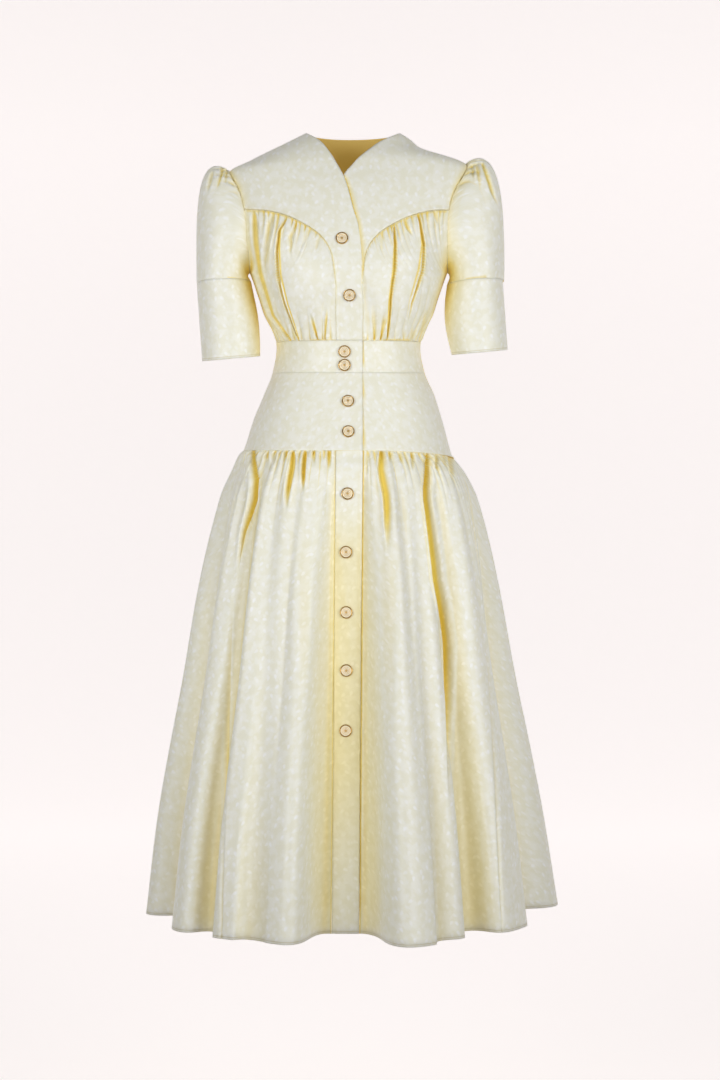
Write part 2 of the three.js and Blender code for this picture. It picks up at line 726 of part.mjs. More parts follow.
// A round button with a raised rim, a sunken ring and a low boss, back face at height 0, turned about +Z.
function buttonGeometry() {
  const rim = 3.2;
  const dish = 1.5;
  const profile = [
    [0, 0],
    [BUTTON_RADIUS - 0.6, 0],
    [BUTTON_RADIUS, 1.5],
    [BUTTON_RADIUS - 1.4, rim],
    [BUTTON_RADIUS - 3.2, dish],
    [BUTTON_RADIUS - 4.6, dish],
    [BUTTON_RADIUS - 5.4, dish + 1],
    [0, dish + 1.2],
  ].map(([radius, height]) => new THREE.Vector2(radius, height));
  return new THREE.LatheGeometry(profile, BUTTON_SIDES).rotateX(Math.PI / 2);
}

// A button's mesh, seated on the right front's outer face at x and z.
function seatedButton({ x, z }, material) {
  const onSurface = (px, pz) =>
    pz > HIP_SEAM.front ? onFigure(onFront(px, pz)) : onSkirt([skirtAngleAt(px, pz), pz]);
  const reach = BUTTON_RADIUS;
  const middle = onSurface(x, z);
  const acrossFace = onSurface(x + reach, z).sub(onSurface(x - reach, z));
  const upFace = onSurface(x, z + reach).sub(onSurface(x, z - reach));
  const normal = acrossFace.cross(upFace).normalize();
  const around = Array.from({ length: 12 }, (_, i) => (Math.PI * i) / 6);
  const rises = around.map((turn) => {
    const rim = onSurface(x + reach * Math.cos(turn), z + reach * Math.sin(turn));
    return rim.sub(middle).dot(normal);
  });
  const mesh = new THREE.Mesh(buttonGeometry(), material);
  mesh.position.copy(middle.addScaledVector(normal, SEAM + Math.max(0, ...rises)));
  mesh.quaternion.setFromUnitVectors(new THREE.Vector3(0, 0, 1), normal);
  return mesh;
}

// ---- the dress ----

const cloth = () => new THREE.MeshStandardMaterial({ color: CREAM, roughness: 0.55, metalness: 0 });
const metal = () => new THREE.MeshStandardMaterial({ color: GOLD, roughness: 0.25, metalness: 1 });

const dress = new THREE.Group();
const panels = {
  ...frontPieces("right", SLEEVES.right, NECK_RIGHT, BODICE_FOLDS_RIGHT),
  ...frontPieces("left", SLEEVES.left, NECK_LEFT, BODICE_FOLDS_LEFT),
  ...backPiece(),
  ...bandPieces(),
  ...skirtPieces(),
  ...sleevePieces("right", SLEEVES.right),
  ...sleevePieces("left", SLEEVES.left),
};
for (const [name, geometry] of Object.entries(panels)) {
  const mesh = new THREE.Mesh(geometry, cloth());
  mesh.name = name;
  dress.add(mesh);
}
BUTTONS.forEach((place, i) => {
  const mesh = seatedButton(place, metal());
  mesh.name = `button_${i + 1}`;
  dress.add(mesh);
});

export default dress;
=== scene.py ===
"""A button-front midi dress in cream jacquard: its cloth panels, its metal buttons and its stage."""

import math

import bpy
import bmesh
import numpy as np
from bpy.props import FloatProperty, FloatVectorProperty, PointerProperty
from bpy.types import Operator, Panel, PropertyGroup
from mathutils import Matrix, Vector
from mathutils.bvhtree import BVHTree


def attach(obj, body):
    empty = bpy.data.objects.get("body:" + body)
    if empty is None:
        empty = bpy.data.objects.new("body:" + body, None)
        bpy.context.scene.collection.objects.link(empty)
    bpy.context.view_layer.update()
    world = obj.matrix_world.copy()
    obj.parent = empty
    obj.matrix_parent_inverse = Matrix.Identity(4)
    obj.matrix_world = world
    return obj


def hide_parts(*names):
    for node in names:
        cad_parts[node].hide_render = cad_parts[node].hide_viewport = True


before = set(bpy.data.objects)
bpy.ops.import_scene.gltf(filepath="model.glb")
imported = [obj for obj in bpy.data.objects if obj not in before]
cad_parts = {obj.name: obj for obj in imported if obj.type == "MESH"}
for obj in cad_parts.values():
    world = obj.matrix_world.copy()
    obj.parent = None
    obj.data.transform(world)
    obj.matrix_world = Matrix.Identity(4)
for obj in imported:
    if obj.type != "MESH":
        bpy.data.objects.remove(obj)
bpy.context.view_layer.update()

bl_info = {
    "name": "Button-front dress",
    "version": (1, 0, 0),
    "blender": (4, 5, 0),
    "location": "3D View > Sidebar > Dress",
    "description": "Sews a cream jacquard dress on its frame",
    "category": "Object",
}

MM = 0.001  # the tables and surfaces below are in millimetres, the meshes in metres

# ---- the cut ----

SEAM = -0.35  # each panel runs this far past the middle of its seams, tucked under
NECK_POINT = 55.0  # height of the shoulder seams at the neck
WAIST_TOP = (-275.5, -281.0)  # at the sides, at the centre front
WAIST_BOTTOM = (-324.0, -330.5)
HIP_SEAM = {"right": -446.0, "left": -459.0, "front": -451.5}
HEM = -1174.0
UNDERARM = -165.0
LAP = 1.4  # how far the left front lies under the right front
LAP_EDGE = 21.5  # x of the right front's free edge
BAND_SEAM = -19.5  # x where its button band is sewn on
BAND_LEAN = -5.5  # how far the skirt's bands lean to the right by the hem
BAND_TOP = -200.0

# Height, half width to the right and the left, depth to the front and the back
FIGURE = np.array([
    (55, 68, 80.6, 15, 56),
    (45, 88, 96, 28, 64),
    (30, 118, 116, 43, 73),
    (10, 157, 177, 58, 81),
    (-6, 188, 193, 66, 85),
    (-40, 194, 191, 82, 92),
    (-85, 192, 184, 98, 99),
    (-121, 182, 175, 108, 99),
    (-165, 156, 155, 115, 92),
    (-203, 142, 141, 111, 85),
    (-232, 133, 132, 103, 79),
    (-276.5, 115, 113.5, 92, 73),
    (-324.5, 121, 119.5, 89, 78),
    (-357, 133.4, 133.8, 97, 89),
    (-398, 150.6, 147, 108, 104),
    (-446, 166, 160, 122, 118),
    (-456, 174, 164, 126, 123),
    (-477, 184, 184, 139, 136),
    (-510, 199, 202, 149, 148),
    (-548, 210, 214, 161, 160),
    (-613, 226, 230, 179, 178),
    (-683, 240, 244, 197, 197),
    (-809, 261, 266, 227, 228),
    (-918, 282, 288, 250, 252),
    (-1027, 301, 308, 273, 275),
    (-1174, 319, 330, 300, 303),
], dtype=float)
RIGHT, LEFT, FRONT, BACK = 1, 2, 3, 4  # its columns

# The skirt's large folds at the hem: angle round from the centre front, and how far it stands out
SKIRT_FOLDS = np.array([
    (-87, 0), (-75, -64), (-54, -5), (-45.5, -42), (-38, -8), (-28, -24), (-18.5, -8), (-7, -108),
    (4.5, -108), (16, 10), (31, -24), (41, -66), (52, -18), (84, -88), (105, 16), (122, -55),
    (137, -4), (152, -60), (168, 0), (186, -62), (203, 0), (219, -58), (236, 2), (253, -60), (273, 0),
], dtype=float)
FOLD_ROLL = 0.12  # how far round each of them rolls over at the hem, as a share of its width

YOKE_EDGE = [
    (136, -76.5), (115, -81), (92, -89.5), (72, -100), (57, -109.5), (44.5, -119.5), (34.5, -131.5),
    (27, -147), (23, -168),
]
NECK = {
    "right": [
        (-68, 55), (-44.5, 36.5), (-29, 15), (-20, -1), (-8, -24.5), (-1, -46), (8, -82), (14, -102),
        (18.5, -134), (20.7, -165), (21.5, -185),
    ],
    "left": [(80.6, 55), (49, 36), (33, 22.5), (17.5, 8.5), (5, -6), (-8, -24.5), (-16, -60), (-19.5, -105)],
}
YOKE_CORNER = {"right": math.radians(81), "left": math.radians(86.5)}  # the armhole's turn at the yoke's edge
SIDE = {"right": -1, "left": 1}
SHOULDER_TIP = {"right": -6.0, "left": 6.0}  # heights
ARMHOLE_SPREAD = 33.0  # degrees to either side of the side seam
ARMHOLE_SHARE = {"front": 6 / 11, "back": 12 / 17}  # of a bodice panel's outer edge

SLEEVES = {
    "right": {
        "bow": 5.0,
        "seam": {"x": 197.5, "y": 0.0, "z": -182.0, "half_x": 42.5, "half_y": 56.0, "tilt": -4.0},
        "hem": {
            "x": 185.0, "y": -6.0, "z": -302.0, "half_x": 46.0, "half_y": 50.0, "tilt": -8.0, "rise": 4.5,
        },
    },
    "left": {
        "bow": 7.0,
        "seam": {"x": 199.0, "y": 0.0, "z": -182.0, "half_x": 44.0, "half_y": 56.0, "tilt": 6.0},
        "hem": {
            "x": 206.5, "y": -6.0, "z": -292.0, "half_x": 43.5, "half_y": 51.0, "tilt": 8.0, "rise": 4.5,
        },
    },
}
PUFF = {"out": 60.0, "up": 44.0, "round": 26.0}  # where the sleeve's head is led from the armhole
SLEEVE_INSET = -0.3
CUFF_LAP, CUFF_STEP = 0.8, 0.3  # the lower panel laps over the sleeve's edge and stands out from it
CUFF_LENGTH = 118.0
GATHERED_HEIGHT = {"front": 150.0, "back": 230.0}

# Folded creases in the front: depth and half width, then the line each follows as x, z, and for some a share
# by which they are wider towards +x than towards -x
CREASES = {
    "bodice_front_right": [
        (5, 4.5, [(-147, -78), (-144, -128), (-137.5, -172), (-118, -238), (-91, -276)]),
        (3.1, 4, [(-117, -83), (-124, -121), (-125, -164), (-120, -195)]),
        (7, 1.5, [(-94, -92), (-105, -112), (-106.5, -142), (-104.5, -180), (-94, -224), (-77, -276)]),
        (3.7, 1.7, [(-57, -240), (-47, -280)]),
        (3.1, 1.9, [(-33, -228), (-36.5, -280)]),
        (2.5, 3, [(-79, -100), (-88, -124), (-86, -160)]),
        (1.9, 2.6, [(-62, -112), (-68, -140)]),
        (1.6, 2.6, [(-47, -124), (-50, -150)]),
    ],
    "bodice_front_left": [
        (6, 1.5, [(69.6, -100), (70.2, -136), (68, -175), (62, -220), (59, -282)]),
        (7, 1.6, [(107, -82), (110, -104), (113, -134), (107.5, -172), (93, -222), (88, -262)]),
        (3.1, 2.8, [(84, -92), (90, -109), (99, -124)]),
        (3.1, 3, [(135, -76), (138, -104)]),
        (2.5, 3, [(37, -220), (40, -282)]),
        (3.1, 2.6, [(56, -235), (49.5, -276)]),
        (2.5, 2.4, [(84, -262), (86, -280)]),
        (3.1, 3, [(122, -222), (111, -274)]),
        (2.5, 2.6, [(100, -250), (95, -281)]),
        (1.9, 2.6, [(50, -114), (50, -150)]),
    ],
    "skirt_front_right": [
        (12.4, 4.4, [
            (-147, -448), (-143, -475), (-139.5, -495), (-141, -526), (-149, -552), (-157, -574),
            (-170, -640),
        ], -0.6),
        (8.1, 4, [(-85, -452), (-86.5, -478), (-89.5, -496), (-92.5, -519), (-94, -548)]),
        (7.4, 2.8, [(-67, -452), (-68.5, -474), (-68.7, -496), (-69.5, -518)]),
        (3.1, 10, [(-60, -480), (-65, -515), (-66, -618), (-66, -739), (-68, -900)]),
        (3.1, 2.6, [(-95.5, -450), (-95.5, -466)]),
        (2.5, 2.4, [(-52.6, -450), (-53, -474)]),
        (3.1, 2.4, [(-37.3, -450), (-37.6, -468)]),
        (3.1, 2.6, [(-29.8, -450), (-30, -482)]),
        (2.5, 3, [(-112, -450), (-116, -476)]),
        (2.5, 3, [(-128, -450), (-124, -474)]),
        (1.1, 3, [(-172, -560), (-176, -700), (-181, -860), (-185, -1020), (-187, -1174)], -0.4),
    ],
    "skirt_front_left": [
        (7, 5.2, [(49, -452), (48, -481), (50.8, -497), (55.5, -519), (57, -542), (59.7, -618)], 0.4),
        (3.7, 12, [(52, -500), (58, -560), (60, -618), (60, -738), (62, -900)]),
        (14.3, 5, [
            (120, -456), (117, -488), (115, -511), (115, -526), (119, -557), (122.6, -588), (126, -618),
            (129, -649), (133.6, -672), (140, -710), (144, -741), (148, -909), (150, -1000),
        ], 0.6),
        (2.5, 2.4, [(28, -452), (26.5, -500)]),
        (3.1, 2.4, [(63, -453), (63, -471)]),
        (3.1, 2.6, [(97.6, -454), (98.4, -484)]),
        (3.7, 3, [(135.7, -455), (134, -484)]),
        (3.7, 4, [(157, -456), (161, -500)]),
        (2.5, 2.6, [(80, -454), (81, -472)]),
        (2.5, 3, [(147, -456), (150, -478)]),
        (1.2, 3, [(206, -640), (214, -800), (222, -960), (230, -1174)], 0.4),
    ],
    "sleeve_right": [
        (3.1, 2.4, [(-199, 0), (-199, -14), (-207, -45)]),
        (2.5, 2.2, [(-192, -2), (-192, -34)]),
        (2.5, 3, [(-214, -10), (-222, -50)]),
    ],
    "sleeve_left": [
        (3.7, 2.6, [(209, 4), (212, -8), (223, -45), (236, -72)]),
        (3.1, 2.6, [(200, 0), (202, -16), (205, -44)]),
        (2.5, 2.2, [(193, 0), (194, -30)]),
    ],
}

# Buttons, from the neck down
BUTTON_PLACES = [
    (-10.2, -127), (1.3, -213.5), (-6.4, -298), (-6.4, -319), (-1, -375.3), (-0.4, -422.6),
    (-1.5, -517.6), (-3.8, -606.4), (-3.4, -697.2), (-3.2, -784.3), (-4.1, -874),
]
BUTTON_RADIUS = 10.0
BUTTON_BLANK = {"vertices": 64, "radius": 0.0096, "depth": 0.0012, "location": (0, 0, 0.0006)}
# From rim to boss, in metres: how far a button's top is drawn in, and how far it is then raised or sunk
BUTTON_PROFILE = [
    (0.00005, 0.0012), (0.0005, 0.0005), (0.0009, 0.0), (0.0006, -0.0006), (0.0004, -0.0008), (0.0012, 0.0),
    (0.0002, 0.0005), (0.0005, 0.0), (0.0002, -0.0005), (0.0014, 0.0), (0.0006, 0.0006), (0.0009, 0.0002),
]
PALE_RINGS = [(0.0058, 0.0077), (0.004, 0.0049), (0.0022, 0.003)]  # inner and outer radius
RIM_FROM = 0.0077

# Columns and rows of each kind of panel's grid
GRIDS = {
    "yoke_front": (50, 150), "bodice_front": (300, 80), "bodice_back": (180, 80), "waistband_front": (80, 16),
    "waistband_back": (110, 16), "hip_yoke_front": (80, 44), "hip_yoke_back": (110, 44),
    "skirt_front": (400, 90), "skirt_back": (260, 90), "skirt_band": (16, 90), "sleeve": (200, 70),
    "cuff": (120, 30),
}
SEED = {
    "yoke": 11, "yoke gathers": 21, "yoke stitches": 25, "waist gathers": 31, "waist stitches": 35,
    "bodice drape": 41, "back gathers": 51, "back drape": 53, "sleeve gathers": 61, "sleeve drape": 63,
    "cuff": 71, "front_right": 81, "front_left": 82, "back": 83, "skirt_front_right": 101,
    "skirt_front_left": 111, "skirt_back": 121, "skirt_band_right": 131, "skirt_band_left": 141, "rays": 5,
}
CHART_STEPS = 24  # in which the way round the figure is summed up
OPEN_REACH = 120.0  # how far off cloth still closes a place in
RAYS = 28
# Painted shade on the wrong side: its inner faces get this much, which turns them gold and lights them with
# the painted glow
WRONG_SIDE = 2.0  # the closeness that marks the cloth's wrong side

# The jacquard: spacing and size of each layer of petals, its offset, how much its petals vary and their least
PETAL_LAYERS = [(1.0, 1.0, 0.0, 0.5, 0.15), (1.31, 0.9, 0.31, 0.3, 0.03)]
PETAL = {"turn": 1.2, "jitter": 0.75, "width": 0.3, "taper": 0.09, "edge": (1.9, 0.1)}
GROUND = {"lighter": 0.22, "darker": (0.985, 0.98, 0.95), "patches": (0.36, 0.64), "patch scale": 75.0}
THREADS = {"scale": (900, 110, 1), "share": 0.16, "shades": (0.86, 0.86, 0.86)}
WEAVE = {"Scale": 320.0, "Distortion": 0.6, "Detail": 1.0}
# Painted shade: a gold tint that deepens the cloth's colour where it is closed in, in place of the shade and
# light bounced between folds
PAINTED_SHADE_TINTS = [  # tint by how closed in the cloth is
    (0.02, (1, 1, 1)), (0.15, (1, 0.97, 0.87)), (0.34, (0.99, 0.91, 0.66)), (0.6, (0.95, 0.8, 0.36)),
    (0.9, (0.86, 0.64, 0.1)),
]
HEM_STITCH = {"height": 0.0036, "fade": (0.0009, 0.0002), "shades": (0.72, 0.64, 0.42)}
METALS = [  # for a button's face, its pale rings and its rim: name, metallic, polish
    ("gold plate", 0.75, 0.24), ("pale lacquered plate", 0.05, 0.3), ("polished gold rim", 1.0, 0.16),
]

CAMERA = {"x": 17.4, "distance": 3300.0, "z": -587.8, "high": 1706.4, "sensor": 36.0}  # high at y = 0
# The rest of the stage, in metres; each lamp has its place, size and watts
FLOOR = {"height": -1.62, "size": 14.0, "wall": 8.0, "sweep": 3.0, "colour": (0.93, 0.90, 0.89, 1)}
FLOOR_GLOW = {"colour": (1.0, 0.95, 0.945, 1), "range": (0.2, 0.7, 0.0, 0.55)}
LAMPS = [("key", (-1.8, -2.6, -0.3), 1.5, 5.7), ("fill", (2.1, -2.5, -0.3), 1.7, 6.9)]
LAMP_COLOUR = (1.0, 1.0, 0.99)
LAMP_SPREAD = math.radians(56)
LAMP_AIM = (0, 0, -0.38)
STUDIO = {"Color": (1.0, 0.97, 0.96, 1), "Strength": 0.28}


# ---- surfaces of the figure ----

def smooth(start, end, x):
    """0 at start, 1 at end, smooth between them; start may be the larger."""
    t = np.clip((x - start) / (end - start), 0, 1)
    return t * t * (3 - 2 * t)


def mix(a, b, t):
    return a + (b - a) * t


def figure_column(which, z):
    """A column of the figure's table at heights z, on a smooth line through its rows."""
    heights = FIGURE[::-1, 0]
    values = FIGURE[::-1, which]
    slopes = np.empty_like(values)
    slopes[1:-1] = (values[2:] - values[:-2]) / (heights[2:] - heights[:-2])
    slopes[0] = (values[1] - values[0]) / (heights[1] - heights[0])
    slopes[-1] = (values[-1] - values[-2]) / (heights[-1] - heights[-2])
    z = np.clip(z, heights[0], heights[-1])
    i = np.clip(np.searchsorted(heights, z, side="right") - 1, 0, len(heights) - 2)
    span = heights[i + 1] - heights[i]
    t = (z - heights[i]) / span
    curve = (1 + 2 * t) * (1 - t) ** 2 * values[i] + t * t * (3 - 2 * t) * values[i + 1]
    return curve + t * (1 - t) * span * ((1 - t) * slopes[i] - t * slopes[i + 1])


def half_width(x, z):
    return np.where(x < 0, figure_column(RIGHT, z), figure_column(LEFT, z))


def half_depth(y, z):
    return np.where(y < 0, figure_column(FRONT, z), figure_column(BACK, z))


def on_figure(angle, z, out=0.0):
    """Points at angles round the figure and heights, moved out square to its section."""
    turn = np.radians(angle)
    sine, cosine = np.sin(turn), np.cos(turn)
    across, deep = half_width(sine, z), half_depth(-cosine, z)
    normal_x, normal_y = sine / across, -cosine / deep
    length = np.hypot(normal_x, normal_y)
    x = across * sine + out * normal_x / length
    y = -deep * cosine + out * normal_y / length
    return np.stack([x, y, np.broadcast_to(z, x.shape)], axis=-1)


def on_front(x, z):
    """The angle of a point on the front, by its x."""
    return np.degrees(np.arcsin(np.clip(x / half_width(x, z), -1, 1)))


def before_middle(y):
    """1 in front of the figure's middle, 0 behind it."""
    return smooth(5, -5, y)


# ---- edges: functions from a share of the edge to an angle and a height ----

def straight(start, end):
    return lambda t: (mix(start[0], end[0], t), mix(start[1], end[1], t))


def spline(points):
    """Even steps along a smooth curve through points, as positions and unit tangents by share."""
    points = np.array(points, dtype=float)
    last = len(points) - 1
    dense = []
    for i in range(last):
        before, start, end, after = points[max(i - 1, 0)], points[i], points[i + 1], points[min(i + 2, last)]
        into, out_of = (end - before) / 2, (after - start) / 2
        t = np.linspace(0, 1, 60, endpoint=i == last - 1)[:, None]
        cubic = (2 * start - 2 * end + into + out_of) * t ** 3
        dense.append(cubic + (3 * end - 3 * start - 2 * into - out_of) * t ** 2 + into * t + start)
    dense = np.concatenate(dense)
    lengths = np.concatenate([[0], np.cumsum(np.linalg.norm(np.diff(dense, axis=0), axis=1))])
    tangents = np.gradient(dense, lengths, axis=0)
    tangents /= np.linalg.norm(tangents, axis=1)[:, None]

    def at(share):
        along = np.clip(share, 0, 1) * lengths[-1]
        place = [np.interp(along, lengths, dense[:, k]) for k in (0, 1)]
        tangent = [np.interp(along, lengths, tangents[:, k]) for k in (0, 1)]
        return place, tangent

    return at


def through(points, gap=0.0):
    """A smooth edge on the front through points in x and z, moved square to itself by a gap."""
    curve = spline(points)

    def edge(t):
        (x, z), (along_x, along_z) = curve(t)
        z = z + along_x * gap
        return on_front(x - along_z * gap, z), z

    return edge


def chain(*parts):
    """Edges one after another, each with the share of the whole that it takes."""
    def edge(t):
        t = np.clip(np.asarray(t, dtype=float), 0, 1)
        angle, z = np.zeros_like(t), np.zeros_like(t)
        start = 0.0
        for k, (share, part) in enumerate(parts):
            inside = (t >= start) & ((t <= start + share) | (k == len(parts) - 1))
            part_angle, part_z = part(np.clip((t - start) / share, 0, 1))
            angle, z = np.where(inside, part_angle, angle), np.where(inside, part_z, z)
            start += share
        return angle, z

    return edge


def patch(top, bottom, start, end):
    """The inside of a panel from its four edges: u runs along top and bottom, v from top to bottom."""
    corners = [top(0.0), top(1.0), bottom(0.0), bottom(1.0)]

    def inside(u, v):
        edges = [top(u), bottom(u), start(v), end(v)]
        places = []
        for k in (0, 1):
            ruled = mix(edges[0][k], edges[1][k], v) + mix(edges[2][k], edges[3][k], u)
            upper, lower = mix(corners[0][k], corners[1][k], u), mix(corners[2][k], corners[3][k], u)
            places.append(ruled - mix(upper, lower, v))
        return places

    return inside


# ---- seam lines ----

def facing(angle):
    return np.maximum(np.cos(np.radians(angle)), 0)


def waist_top(angle):
    return mix(*WAIST_TOP, facing(angle))


def waist_bottom(angle):
    return mix(*WAIST_BOTTOM, facing(angle))


def hip_seam(angle):
    front = mix(np.where(angle < 0, HIP_SEAM["right"], HIP_SEAM["left"]), HIP_SEAM["front"], facing(angle))
    back = mix(HIP_SEAM["left"], HIP_SEAM["right"], np.clip((angle - 90) / 180, 0, 1))
    return np.where(angle > 90, back, front)


def beside_seam(which, z, gap=SEAM):
    return np.degrees(gap / figure_column(FRONT if which == "front" else BACK, z))


def above_waist(x):
    angle = on_front(x, WAIST_TOP[1])
    return angle, waist_top(angle) + SEAM


def lap_under(angle):
    return -LAP * (1 - smooth(14, 40, angle))


def side_angle(side, which, z, gap=SEAM):
    """The angle of a side or shoulder seam's front or back edge, counted on past the centre back."""
    offset = beside_seam(which, z, gap)
    if which == "front":
        return side * (90 - offset)
    return 90 + offset if side > 0 else 270 - offset


def at_side(name, which):
    return lambda z: side_angle(SIDE[name], which, z)


def at_x(x):
    return lambda z: on_front(x, z)


def armhole_place(name, turn, inset=0.0):
    """The armhole by its turn, 0 at the shoulder over the front to pi at the underarm."""
    tip = SHOULDER_TIP[name]
    middle, half = (tip + UNDERARM) / 2, (tip - UNDERARM) / 2 - inset
    spread = ARMHOLE_SPREAD - inset / 2.3
    return SIDE[name] * (90 - spread * np.sin(turn)), middle + half * np.cos(turn)


def armhole_edge(name, which, turn):
    angle, z = armhole_place(name, turn)
    from_side = np.maximum(90 - np.abs(angle), beside_seam(which, z, 2 * SEAM))
    if which == "front":
        return SIDE[name] * (90 - from_side), z
    return (90 + from_side if SIDE[name] > 0 else 270 - from_side), z


def shoulder_edge(name, which):
    def edge(t):
        z = mix(NECK_POINT, SHOULDER_TIP[name], t)
        return side_angle(SIDE[name], which, z, 2 * SEAM), z

    return edge


def side_edge(name, which):
    def edge(t):
        z = mix(UNDERARM, WAIST_TOP[0] + SEAM, t)
        return side_angle(SIDE[name], which, z), z

    return edge


def yoke_seams(name, gap):
    """The yoke's lower edge from the armhole to the band, and the band's seam below it."""
    side = SIDE[name]
    corner = on_figure(*armhole_place(name, np.array([YOKE_CORNER[name]])))[0]
    seam_x = BAND_SEAM if side < 0 else LAP_EDGE
    points = [(corner[0], corner[2]), *[(side * x, z) for x, z in YOKE_EDGE], (seam_x, BAND_TOP)]
    away_x = seam_x + side * gap
    band = straight((on_front(away_x, BAND_TOP), BAND_TOP), above_waist(away_x))
    return through(points, side * gap), band


# ---- relief of the cloth ----

def lobes(share, count, seed):
    """Gathers along an edge: rounded lobes with sharp valleys, and for each place its lobe's own reach."""
    random = np.random.default_rng(seed)
    widths = 1 + 0.35 * random.uniform(-1, 1, count)
    bounds = np.concatenate([[0], np.cumsum(widths) / widths.sum()])
    index = np.clip(np.searchsorted(bounds, share, side="right") - 1, 0, count - 1)
    inside = (share - bounds[index]) / (bounds[index + 1] - bounds[index])
    height = random.uniform(0.55, 1.0, count)[index]
    reach = random.uniform(0.5, 1.5, count)[index]
    lean = random.uniform(0.35, 0.65, count)[index]
    skewed = np.where(inside < lean, inside / lean / 2, 0.5 + (inside - lean) / (1 - lean) / 2)
    profile = np.abs(np.sin(math.pi * skewed)) ** 1.2
    return profile * height - 0.5, reach


def gathers(share, count, seed, away, depth, start, reach):
    """Cloth drawn up on a seam: lobes that rise within a start away from it and fade over a reach."""
    height, own_reach = lobes(share, count, seed)
    return depth * height * smooth(0, start, away) * np.exp(-away / (reach * own_reach))


def soft_noise(a, b, seed):
    """A smooth field of a few crossing waves, about -1 to 1."""
    waves = 6
    random = np.random.default_rng(seed)
    total = np.zeros(np.broadcast(a, b).shape)
    for _ in range(waves):
        turn, phase = random.uniform(0, math.pi), random.uniform(0, 2 * math.pi)
        stretch = random.uniform(0.7, 1.6)
        total = total + np.sin(stretch * (a * math.cos(turn) + b * math.sin(turn)) + phase)
    return total / math.sqrt(waves) / 1.3


def creases_at(name, x, z):
    """A panel's folded creases: how far they move the cloth, and how closed in it is there, which becomes
    painted shade in its colour.

    A crease that starts above the upper seam height or ends at the lower one runs on into that seam."""
    upper_seam, lower_seam = (-200, WAIST_TOP[1]) if name.startswith("bodice") else (-465, HEM)
    relief, crease_shade = np.zeros_like(x), np.zeros_like(x)
    for depth, width, line, *lean in CREASES.get(name, ()):
        line = np.array(line, dtype=float)[::-1]
        middle = np.interp(z, line[:, 1], line[:, 0])
        top, bottom = line[-1, 1], line[0, 1]
        down = np.clip((top - z) / (top - bottom), 0, 1)
        opening = smooth(top + 4, top - 5, z) if top > upper_seam else smooth(0, 0.5, down)
        along = opening * (1.0 if bottom < lower_seam + 8 else smooth(1, 0.5, down))
        half = width * (0.45 + 0.55 * np.sin(math.pi * down ** 0.6))
        lean = lean[0] if lean else 0.0
        away = np.abs(x - middle) / (half * (1 + lean * np.sign(x - middle)))
        relief -= along * depth * np.exp(-away ** 3)
        relief += along * depth * 0.22 * np.exp(-((away - 1.9) / 0.8) ** 2)
        # painted shade along the crease, stronger for deep, narrow creases
        strength = min(1.0, depth / 5) * min(1.0, depth / width / 1.4)
        crease_shade = np.maximum(crease_shade, along * strength * np.exp(-away ** 3))
    return relief, crease_shade


def stitched_gathers(share, count, seed, down, reach=6.0):
    """The tiny gathers of cloth drawn up on its stitches, at a distance down from the seam."""
    return 1.5 * lobes(share, count, seed)[0] * smooth(0, 1.2, down) * np.exp(-(down / reach) ** 2)


def tuck_in(distance, depth, reach):
    """How far cloth turns in towards a seam at a distance from it."""
    return -depth * np.exp(-np.maximum(distance, 0) / reach)


def grid_normals(points, closed):
    """Outward unit normals of a grid whose columns run round and whose rows run down."""
    across = np.gradient(points, axis=1)
    if closed:
        across = np.roll(points, -1, axis=1) - np.roll(points, 1, axis=1)
    down = np.gradient(points, axis=0)
    normals = np.cross(down, across)
    return normals / np.maximum(np.linalg.norm(normals, axis=-1), 1e-9)[..., None]


# ---- panels ----

def yoke_surface(name):
    side = SIDE[name]
    edge, band = yoke_seams(name, -SEAM / 2)
    last = NECK[name][-1]
    edge_x = LAP_EDGE if side < 0 else BAND_SEAM
    neck_line = through(NECK[name])

    def neck_edge(t):
        angle, z = neck_line(t)
        limit = 90 - beside_seam("front", z, 2 * SEAM)
        return np.clip(angle, -limit, limit), z

    front_edge = straight((on_front(last[0], last[1]), last[1]), above_waist(edge_x))
    inner = chain((0.8, neck_edge), (0.2, front_edge))
    outer = chain(
        (0.2, lambda t: armhole_edge(name, "front", YOKE_CORNER[name] * t)),
        (2 / 3, edge),
        (2 / 15, band),
    )
    inside = patch(shoulder_edge(name, "front"), straight(inner(1.0), outer(1.0)), inner, outer)

    def surface(u, v):
        share = 1 - u if side < 0 else u
        angle, z = inside(share, v)
        width = mix(120, 40, smooth(0.2, 0.75, v))  # about how wide the yoke is here
        from_seam = (1 - share) * width
        below = smooth(0.17, 0.22, v)
        # the turned edge stands up beside the seam, puckered by its stitches
        raised = below * (0.9 * np.exp(-((from_seam - 2.4) / 1.9) ** 2) + 0.5 * np.exp(-from_seam / 14))
        pucker = 0.35 * np.sin(v * 330 + 3 * np.sin(v * 61)) * np.exp(-from_seam / 5) * below
        free = tuck_in(share * width, 0.5, 1.2)
        ripple = 0.5 * soft_noise(angle / 9, z / 26, SEED["yoke"] + side) * smooth(0, 12, from_seam)
        lap = lap_under(angle) if side > 0 else 0.0
        return on_figure(angle, z, raised + pucker + tuck_in(from_seam, 0.35, 0.8) + free + ripple + lap)

    return surface


